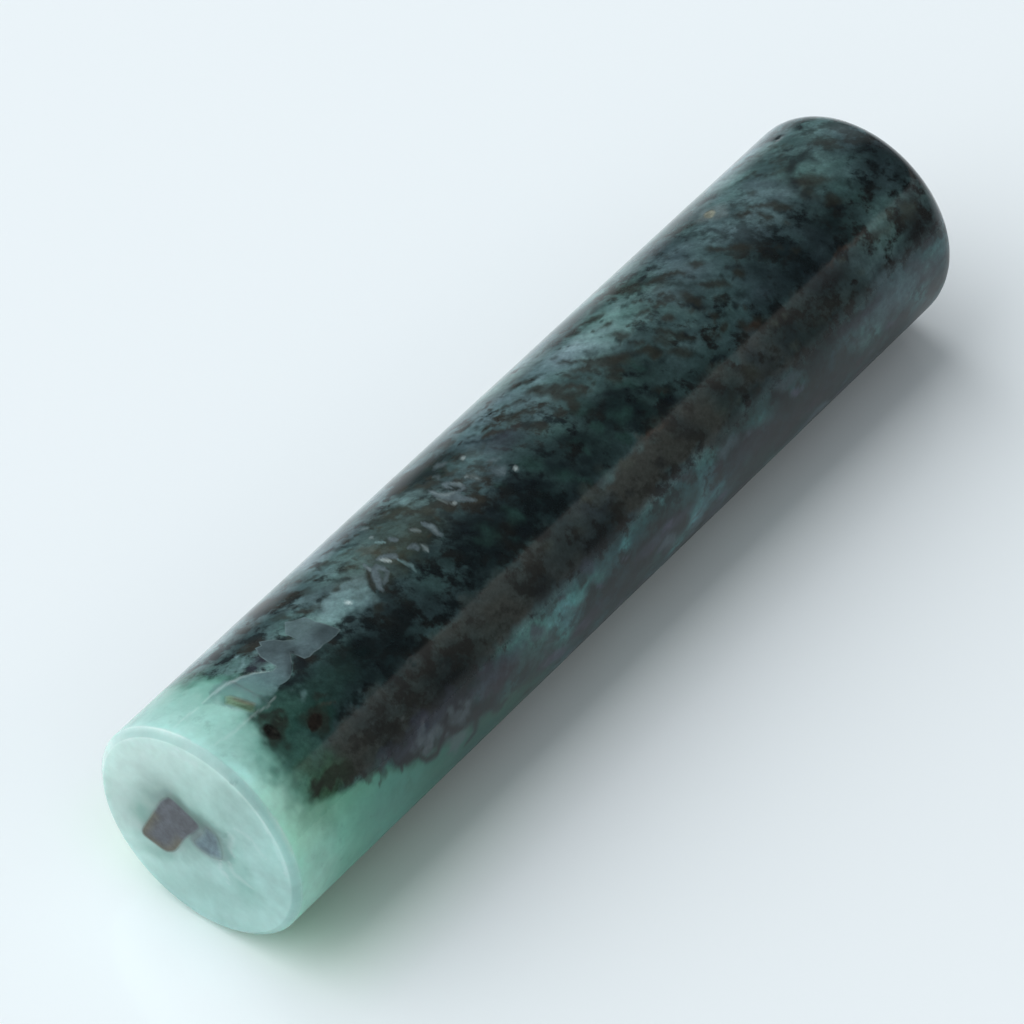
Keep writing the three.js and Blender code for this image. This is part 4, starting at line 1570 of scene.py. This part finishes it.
@dataclass(frozen=True)
class Viewpoint:
    """The camera at the photograph's viewing angle, for a square frame of 1024 pixels."""

    focal_pixels: float = 6878.0
    frame_pixels: float = 1024.0
    sensor: float = 36.0
    place: tuple[float, float, float] = (-0.206269, -0.156065, 0.277365)
    looks: tuple[float, float, float] = (0.547466, 0.420389, -0.723570)

    def build(self) -> bpy.types.Object:
        """Makes the camera and gives it to the scene.

        Returns:
            The camera's object.
        """
        camera = bpy.data.cameras.new("camera")
        camera.sensor_width = self.sensor
        camera.lens = self.focal_pixels / self.frame_pixels * self.sensor
        camera.clip_start = 0.01
        camera.clip_end = 20.0
        holder = bpy.data.objects.new("camera", camera)
        bpy.context.scene.collection.objects.link(holder)
        holder.location = self.place
        holder.rotation_euler = Vector(self.looks).to_track_quat("-Z", "Y").to_euler()
        bpy.context.scene.camera = holder
        return holder


# ------------------------------ the grains


class Seat(Enum):
    """Which of the stone's surfaces a grain is ground flush with."""

    FACE = "seal face"
    SIDE = "round side"


@dataclass
class Grain:
    """A mineral grain that is ground flush with the stone.

    On the round side its places are (along, arc) in millimetres, where arc is the angle times the
    length of one degree. On the seal face they are (right, up). The grain's top follows the
    stone's surface, stands a few thousandths of a millimetre proud of it, and dives under it at
    the rim.
    """

    node: str
    slot: str
    body: StoneBody
    seat: Seat
    depth: float
    finish: StoneFinish
    core: tuple[int, int, int] = (90, 100, 105)
    rim: tuple[int, int, int] = (90, 100, 105)
    rim_width: float = 0.15
    soft: float = 0.10  # millimetres over which its colour runs out into the stone's
    mottle: float = 0.25
    mottle_size: float = 0.5
    rough: float = 0.08
    clear: float = 0.2
    flecked: float = 0.15
    grain: float = 0.8

    PROUD = 0.003
    DIVE = 0.006  # how far the rim ends under the stone's surface
    MARGIN = 0.06
    # the rings past the outline, as shares of the margin and lifts
    RIM_RINGS = ((0.3, 0.001), (0.65, -0.002), (1.0, -DIVE))
    COLUMN_TURN = 3.0  # degrees
    RING_STEP = 0.07
    MOTTLE_LAYER = 300

    def outline(self) -> Array:
        """The grain's outline, one corner in each row."""
        raise NotImplementedError

    def cloud(self, flat: Array) -> Array:
        """The mottling cloud at places in the grain's own plane."""
        at = self.space(flat, 0.0)
        return self.body.pattern.noise.cloud(at, self.mottle_size, self.MOTTLE_LAYER)

    def space(self, flat: Array, lift: Array | float) -> Array:
        """Puts places on the stone's surface in space, raised by lift along its normal.

        Args:
            flat: places in the grain's own plane.
            lift: millimetres above the surface, negative inside the stone.

        Returns:
            The places in millimetres in the model's frame.
        """
        if self.seat is Seat.FACE:
            return on_end(SEAL_X + StoneBody.FACE_SUNK - lift, flat[:, 0], flat[:, 1])
        angle = flat[:, 1] / StonePattern.ARC
        return on_side(flat[:, 0], angle, RADIUS - self.body.dip(flat[:, 0], angle) + lift)

    def stone_paint(self, flat: Array) -> Paint:
        """The paint that the stone itself has at these places."""
        if self.seat is Seat.FACE:
            return self.body.pattern.face(flat[:, 0], flat[:, 1])
        return self.body.pattern.side(flat[:, 0], flat[:, 1] / StonePattern.ARC)

    def own_colour(self, flat: Array, inside: Array) -> Array:
        """The mineral's own colour: rim to core by depth inside the outline, mottled by noise.

        Args:
            flat: places in the grain's own plane.
            inside: millimetres inside the outline.

        Returns:
            Linear colours, one row each.
        """
        share = smooth(0.0, self.rim_width, inside)[:, None]
        colour = blend(linear(*self.rim), linear(*self.core), share)
        return colour * np.exp(self.mottle * self.cloud(flat))[:, None]

    def paint(self, flat: Array) -> Paint:
        """Paints the grain, running out into the stone's own paint over `soft` millimetres.

        Args:
            flat: places in the grain's own plane.

        Returns:
            The paint of each place.
        """
        inside = -polygon_distance(flat, self.outline())
        own = self.own_colour(flat, inside)
        mineral = Paint.even(
            own, own * 0.75, flecked=self.flecked, grain=self.grain, clear=self.clear,
            rough=self.rough,
        )
        return self.stone_paint(flat).mix(mineral, smooth(-0.5 * self.soft, self.soft, inside))

    def rings(self) -> tuple[Array, Array]:
        """The grain's top as rings of places about its middle, from the middle to the rim.

        Ring t has its points at t times the outline's reach in each direction from the middle, and
        the last three rings lie within a margin outside the outline.

        Returns:
            Places with shape (rings, columns, 2), and each ring's lift.
        """
        outline = self.outline()
        centre = self.centre()
        turn = np.radians(np.arange(0.0, 360.0, self.COLUMN_TURN))
        way = np.stack([np.cos(turn), np.sin(turn)], axis=-1)
        reach = np.full(len(turn), np.inf)
        for a, b in zip(outline - centre, np.roll(outline, -1, axis=0) - centre):
            edge = b - a
            cross = way[:, 0] * edge[1] - way[:, 1] * edge[0]
            safe = np.where(np.abs(cross) < 1e-9, 1e-9, cross)
            far = (a[0] * edge[1] - a[1] * edge[0]) / safe
            share = (a[0] * way[:, 1] - a[1] * way[:, 0]) / safe
            hit = (far > 0) & (share >= -1e-9) & (share <= 1.0 + 1e-9)
            reach = np.where(hit & (far < reach), far, reach)
        steps = max(6, int(reach.max() / self.RING_STEP))
        scale = np.linspace(1.0 / steps, 1.0, steps)[:, None] * reach
        past, lifts = np.array(self.RIM_RINGS).T
        radii = np.concatenate([scale, reach[None] + past[:, None] * self.MARGIN])
        lift = np.concatenate([np.full(steps, self.PROUD), lifts])
        return centre + radii[..., None] * way, lift

    def centre(self) -> Array:
        """A place inside from which the whole outline can be seen."""
        return self.outline().mean(axis=0)

    def build(self) -> bpy.types.Object:
        """Makes the grain's closed mesh, paints it and dresses it.

        Returns:
            The finished piece.
        """
        top, lift = self.rings()
        count, columns, _ = top.shape
        centre = self.centre()
        flat = top.reshape(-1, 2)
        rows = self.space(flat, np.repeat(lift, columns)).reshape(count, columns, 3)
        under = centre + (top[-1] - centre) * 0.8
        floor = self.space(under, -self.depth)[None]
        wall = self.space(top[-1], -0.4 * self.depth)[None]
        first = self.space(centre[None], self.PROUD)[0]
        last = self.space(centre[None], -self.depth)[0]
        mesh = closed_rings(self.node, np.concatenate([rows, wall, floor]), first, last)
        places = np.concatenate([centre[None], flat, top[-1], under, centre[None]])
        return self.dress(mesh, places)

    def dress(self, mesh: bpy.types.Mesh, places: Array) -> bpy.types.Object:
        """Paints the mesh, gives it its finish, hangs the piece under the root body and hides the
        CAD part that it stands for.

        Args:
            mesh: the grain's mesh.
            places: each vertex's place in the grain's own plane.

        Returns:
            The finished piece.
        """
        write_paint(mesh, self.paint(places))
        mesh.materials.append(self.finish.build())
        piece = add_object(f"{self.node}_polished", mesh)
        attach(piece, "root")
        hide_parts(self.node)
        return piece


@dataclass
class SideGrain(Grain):
    """A grain in the round side with a middle, a length, a width and a turn.

    The turn is counted towards +Y over the top, and (u, v) are millimetres across and along the
    grain from its middle.
    """

    along: float = 0.0
    angle: float = 0.0
    length: float = 1.0
    width: float = 1.0
    turn: float = 0.0

    def placed(self, u: Array, v: Array) -> Array:
        """Puts (u, v) places in the (along, arc) plane, whose second axis runs the other way."""
        along, arc = rotated(u, v, self.turn)
        return np.stack([self.along + along, self.angle * StonePattern.ARC - arc], axis=-1)

    def own_places(self, flat: Array) -> tuple[Array, Array]:
        """The u and v of (along, arc) places."""
        arc = self.angle * StonePattern.ARC
        return rotated(flat[:, 0] - self.along, arc - flat[:, 1], -self.turn)


@dataclass
class OvalGrain(SideGrain):
    """A rounded grain in the round side, with a slightly uneven oval outline."""

    wobble: float = 0.07

    def outline(self) -> Array:
        """The oval u = a cos(t), v = b sin(t), each times an uneven factor.

        The factor is 1 - wobble * (1 + (sin(3t + 1) + sin(5t)) / 2).

        Returns:
            The corners, one in each row.
        """
        t = np.linspace(0.0, 2.0 * math.pi, 33)[:-1]
        uneven = 1.0 - self.wobble * (1.0 + 0.5 * np.sin(3 * t + 1.0) + 0.5 * np.sin(5 * t))
        u = 0.5 * self.length * np.cos(t) * uneven
        return self.placed(u, 0.5 * self.width * np.sin(t) * uneven)


@dataclass
class FaceGrain(Grain):
    """A grain in the seal face, from its corners as (right, up) places on the face."""

    corners: Points = ()
    middle: tuple[float, float] = (0.0, 0.0)
    stripe_turn: float = 0.0
    stripe_size: float = 0.4
    stripe: float = 0.15
    rim_way: float = 0.0  # degrees, the side whose rim has the rim's colour

    CUT = 0.14  # the share of a side by which a corner is cut
    STRIPE_LAYER = 320

    def outline(self) -> Array:
        """The corners, each one rounded by cutting it twice.

        Returns:
            The cut corners, one in each row.
        """
        points = np.array(self.corners, float)
        for _ in range(2):
            nxt = np.roll(points, -1, axis=0)
            cuts = [blend(points, nxt, self.CUT), blend(points, nxt, 1.0 - self.CUT)]
            points = np.stack(cuts, axis=1).reshape(-1, 2)
        return points

    def centre(self) -> Array:
        """The place that sees the whole outline."""
        return np.array(self.middle)

    def own_colour(self, flat: Array, inside: Array) -> Array:
        """The mineral's colour, with its rim's colour on one side and faint stripes.

        The stripes are 1 + stripe * noise, where the noise is drawn out along a line.

        Args:
            flat: places in the grain's own plane.
            inside: millimetres inside the outline.

        Returns:
            Linear colours, one row each.
        """
        rimmed = super().own_colour(flat, inside)
        way = np.radians(self.rim_way)
        from_middle = flat - np.array(self.middle)
        facing = from_middle @ np.array([math.cos(way), math.sin(way)])
        facing = facing / np.maximum(np.linalg.norm(from_middle, axis=1), 1e-6)
        core = linear(*self.core) * np.exp(self.mottle * self.cloud(flat))[:, None]
        colour = blend(core, rimmed, smooth(-0.1, 0.7, facing)[:, None])
        lengthwise, across = rotated(flat[:, 0], flat[:, 1], -self.stripe_turn)
        drawn = np.stack([lengthwise * 0.2, across, np.zeros(len(flat))], axis=-1)
        noise = self.body.pattern.noise
        stripes = noise.cloud(drawn, self.stripe_size, self.STRIPE_LAYER, 2)
        return colour * (1.0 + self.stripe * stripes)[:, None]


@dataclass
class OliveLath(SideGrain):
    """The narrow lath that stands across the rod, olive on its left and brown on its right."""

    point: float = 0.25

    def outline(self) -> Array:
        """Six corners, narrowing to a blunt point at each end, turned about the middle."""
        h, r, p = self.width / 2, self.length / 2, self.point
        corners = [(h, -r + p), (h, r - p), (h / 2, r), (-h, r - p), (-h, -r + p), (-h / 2, -r)]
        return self.placed(*np.array(corners).T)

    def own_colour(self, flat: Array, inside: Array) -> Array:
        """Pale olive at the far end, darker towards the near one, greyer along the upper edge.

        Args:
            flat: places in the grain's own plane.
            inside: not used.

        Returns:
            Linear colours, one row each.
        """
        u, v = self.own_places(flat)
        across, lengthwise = u / (self.width / 2), v / (self.length / 2)
        drawn = np.stack([across * 2.0, lengthwise * 0.6, np.zeros(len(flat))], axis=-1)
        streak = self.body.pattern.noise.of(drawn, Cloud.STREAK)
        near = smooth(0.95, -0.7, lengthwise)
        upper = smooth(0.0, 0.7, across + 0.2 * streak) * smooth(0.9, 0.2, lengthwise)
        lower = smooth(-0.4, -0.8, across) * smooth(0.6, -0.3, lengthwise)
        colour = linear(112, 142, 116)
        for tone, share in (((74, 98, 78), near), ((98, 104, 88), upper), ((74, 98, 58), lower)):
            colour = blend(colour, linear(*tone), share[:, None])
        return colour * (1.0 + 0.12 * streak)[:, None]


@dataclass
class GreyFlake(Grain):
    """The jagged grey flake near the seal end.

    It is a ribbon along the rod between an upper and a lower edge, each given as (along, angle)
    points with straight runs between them.
    """

    upper: Points = ()
    lower: Points = ()
    across: int = 44
    crack: Points = ((8.45, -1.5), (8.1, 1.5), (7.75, 3.5), (7.35, 6.2))

    def outline(self) -> Array:
        """Both edges joined into one closed outline of (along, arc) corners."""
        return unrolled(self.upper + self.lower[::-1], StonePattern.ARC)

    def own_colour(self, flat: Array, inside: Array) -> Array:
        """Lilac grey, paler towards the seal end and along the rim, darker beside the crack.

        Args:
            flat: places in the grain's own plane.
            inside: millimetres inside the outline.

        Returns:
            Linear colours, one row each.
        """
        colour = super().own_colour(flat, inside)
        left = smooth(7.6, 5.4, flat[:, 0])[:, None]
        colour = blend(colour, linear(92, 122, 124), left)
        far = smooth(8.4, 9.6, flat[:, 0]) * smooth(0.2, -0.8, flat[:, 1])
        colour = blend(colour, linear(92, 114, 116), 0.6 * far[:, None])
        vague = self.body.pattern.noise.of(self.space(flat, 0.0), Cloud.VAGUE)
        colour = colour * (1.0 + 0.14 * vague)[:, None]
        near, _ = line_distance(flat, unrolled(self.crack, StonePattern.ARC))
        colour = colour * (1.0 - 0.35 * smooth(0.5, 0.0, near)[:, None])
        return blend(colour, linear(24, 32, 36), smooth(0.09, 0.03, near)[:, None])

    def paint(self, flat: Array) -> Paint:
        """Paints the flake, which clears towards its tail in the pale end."""
        shade = smooth(4.9, 6.2, flat[:, 0] - 0.5 * smooth(0.0, 0.9, flat[:, 1]))
        return self.stone_paint(flat).mix(super().paint(flat), shade)

    def build(self) -> bpy.types.Object:
        """Makes the flake as cross-sections that go over its top and back under it.

        Returns:
            The finished piece.
        """
        upper, lower = (unrolled(edge, StonePattern.ARC) for edge in (self.upper, self.lower))
        start, end = upper[0, 0], upper[-1, 0]
        steps = np.arange(start, end, self.RING_STEP)
        along = np.unique(np.concatenate([steps, upper[:, 0], lower[:, 0]]))
        along = along[(along >= start) & (along <= end)]
        high = np.interp(along, upper[:, 0], upper[:, 1]) - self.MARGIN
        low = np.interp(along, lower[:, 0], lower[:, 1]) + self.MARGIN
        along = along + np.linspace(-self.MARGIN, self.MARGIN, len(along))
        share = np.concatenate([[0.0], np.linspace(0.02, 0.98, self.across - 2), [1.0]])
        arc = blend(high[:, None], low[:, None], share)
        flat = np.stack([np.broadcast_to(along[:, None], arc.shape), arc], axis=-1)
        top = flat.reshape(-1, 2)
        inside = -polygon_distance(top, self.outline())
        lift = self.PROUD * smooth(-0.02, 0.05, inside) - self.DIVE * smooth(0.0, -0.05, inside)
        above = self.space(top, lift).reshape(*flat.shape[:2], 3)
        back = flat[:, ::-1]
        under = self.space(back.reshape(-1, 2), -self.depth).reshape(*flat.shape[:2], 3)
        loops = np.concatenate([above, under], axis=1)
        ends = [np.array([[along[k], 0.5 * (high[k] + low[k])]]) for k in (0, -1)]
        first, last = (self.space(e, -0.5 * self.depth)[0] for e in ends)
        mesh = closed_rings(self.node, loops, first, last)
        places = np.concatenate([flat, back], axis=1).reshape(-1, 2)
        return self.dress(mesh, np.concatenate([ends[0], places, ends[1]]))


# ------------------------------ assembly

FLAKE_UPPER = (
    (5, -13), (5.6, -11), (6.1, -6.5), (6.75, -1.4), (7.12, -1.6), (7.16, -8),
    (7.28, -12.2), (7.7, -18), (7.97, -16.5), (8.2, -19.5), (8.72, -13.5), (8.82, -9.7),
    (9.22, -5.85), (9.27, -11.4), (10.08, -17.5), (10.3, -14.5), (10.86, -11.1), (10.9, -5),
    (11.25, 6.6),
)
FLAKE_LOWER = (
    (5, 8.6), (5.45, 8.3), (6.27, 6.5), (6.6, 7.2), (6.96, 7.3), (7.25, 6.3), (7.5, 5.1),
    (7.75, 3.6), (7.95, 1.6), (8.2, -0.4), (8.33, -1.8), (8.4, 1.4), (8.46, 5.2), (8.77, 6.3),
    (9.15, 6.2), (9.58, 6.9), (9.84, 6.6), (10.3, 7.4), (10.82, 7.5), (11.25, 6.9),
)
# open pores, and a shallow hollow that bends the room's reflection
PITS = (
    Pit(12.8, 40, 0.5, 0.06), Pit(14.2, 50, 0.4, 0.05), Pit(11.6, 50.5, 0.35, 0.04),
    Pit(10.4, 57, 0.5, 0.05), Pit(11.5, 66, 0.6, 0.06), Pit(56.3, -33, 0.6, 0.06),
    Pit(26.1, 8, 0.35, 0.03), Pit(25, -18, 0.35, 0.03), Pit(38.4, 47, 0.4, 0.04),
)
CRYSTAL_CORNERS = (
    (-1.75, 1.95), (0.45, 0.95), (-0.7, -0.65), (-1.5, -2.35),
    (-2.2, -2.85), (-4, -2.5), (-2.85, 0.1), (-2.35, 1.2),
)
LILAC_CORNERS = (
    (0.65, 1.15), (1.45, 1), (1.65, 0.1), (1.75, -0.7),
    (0.9, -1.05), (0, -0.9), (-0.25, -0.55), (0.3, 0.15),
)


def grains(body: StoneBody) -> list[Grain]:
    """All the grains, with their minerals' finishes.

    Args:
        body: the stone that they sit in.

    Returns:
        The grains in the order in which they are built.
    """
    dark = StoneFinish("black mineral", speck=0.2, speck_amount=0.5, draw=1.0)
    return [
        FaceGrain(
            "face_crystal", "brown_crystal", body, Seat.FACE, 1.6,
            StoneFinish("brown crystal", speck=0.3, speck_amount=0.22, draw=1.0),
            core=(72, 76, 83), rim=(84, 81, 66), rim_width=0.8, soft=0.16, mottle=0.14,
            rough=0.2, clear=0.05, flecked=0.05, corners=CRYSTAL_CORNERS, middle=(-1.8, -0.3),
            stripe_turn=60.0, stripe=0.08, rim_way=-120.0,
        ),
        FaceGrain(
            "lilac_grain", "lilac_mineral", body, Seat.FACE, 1.0,
            StoneFinish("lilac mineral", speck=0.25, speck_amount=0.15, draw=1.0),
            core=(84, 106, 114), rim=(92, 118, 122), rim_width=0.3, soft=0.35, mottle=0.16,
            rough=0.2, clear=0.05, flecked=0.05, corners=LILAC_CORNERS, middle=(0.9, 0.0),
            stripe_turn=80.0, stripe=0.08, rim_way=-30.0,
        ),
        OliveLath(
            "olive_lath", "olive_mineral", body, Seat.SIDE, 0.6,
            StoneFinish("olive mineral", speck=0.2, speck_amount=0.2, draw=1.6),
            soft=0.22, rough=0.12, clear=0.1, flecked=0.05, along=4.0, angle=-0.5, length=1.95,
            width=0.72, turn=14.0,
        ),
        GreyFlake(
            "grey_flake", "grey_mineral", body, Seat.SIDE, 0.7,
            StoneFinish("grey mineral", speck=0.3, speck_amount=0.18, draw=1.5),
            core=(70, 86, 90), rim=(100, 117, 120), rim_width=0.10, soft=0.05, mottle=0.20,
            mottle_size=1.2, rough=0.09, clear=0.08, flecked=0.04, upper=FLAKE_UPPER,
            lower=FLAKE_LOWER,
        ),
        OvalGrain(
            "dark_grain_large", "black_mineral", body, Seat.SIDE, 0.8, dark,
            core=(32, 33, 29), rim=(36, 44, 37), soft=0.14, mottle=0.5, mottle_size=0.3,
            along=3.7, angle=19.6, length=0.88, width=1.28,
        ),
        OvalGrain(
            "dark_grain_small", "black_mineral", body, Seat.SIDE, 0.4, dark,
            core=(32, 40, 35), rim=(40, 54, 46), soft=0.12, mottle=0.4, mottle_size=0.25,
            along=4.56, angle=17.3, length=0.42, width=0.5,
        ),
        OvalGrain(
            "brown_grain", "brown_mineral", body, Seat.SIDE, 0.8,
            StoneFinish("brown mineral", speck=0.2, speck_amount=0.4, draw=1.0),
            core=(33, 29, 25), rim=(38, 36, 30), soft=0.14, mottle=0.35, mottle_size=0.3,
            along=5.95, angle=29.4, length=1.3, width=0.86, turn=18.0,
        ),
        OvalGrain(
            "beige_grain", "beige_mineral", body, Seat.SIDE, 0.6,
            StoneFinish("beige mineral", speck=0.2, speck_amount=0.25, draw=1.0),
            core=(122, 126, 113), rim=(104, 112, 104), soft=0.16, mottle=0.25, mottle_size=0.35,
            rough=0.2, clear=0.04, along=48.6, angle=-24.5, length=1.05, width=0.82, turn=40.0,
        ),
    ]


def main() -> None:
    """Builds the stone, its grains, the studio and the camera."""
    logging.basicConfig(level=logging.INFO, format="%(name)s: %(message)s")
    bpy.context.scene.view_settings.view_transform = "Standard"
    Viewpoint().build()
    body = StoneBody(StonePattern(11), pits=PITS)
    piece = body.build()
    LOG.info("%s: %d faces", piece.name, len(piece.data.polygons))
    for grain in grains(body):
        piece = grain.build()
        LOG.info("%s: %d faces", piece.name, len(piece.data.polygons))
    for part in (Floor(), KeyLamp(), Room()):
        LOG.info("%s ready", part.build().name)


if __name__ == "__main__":
    main()
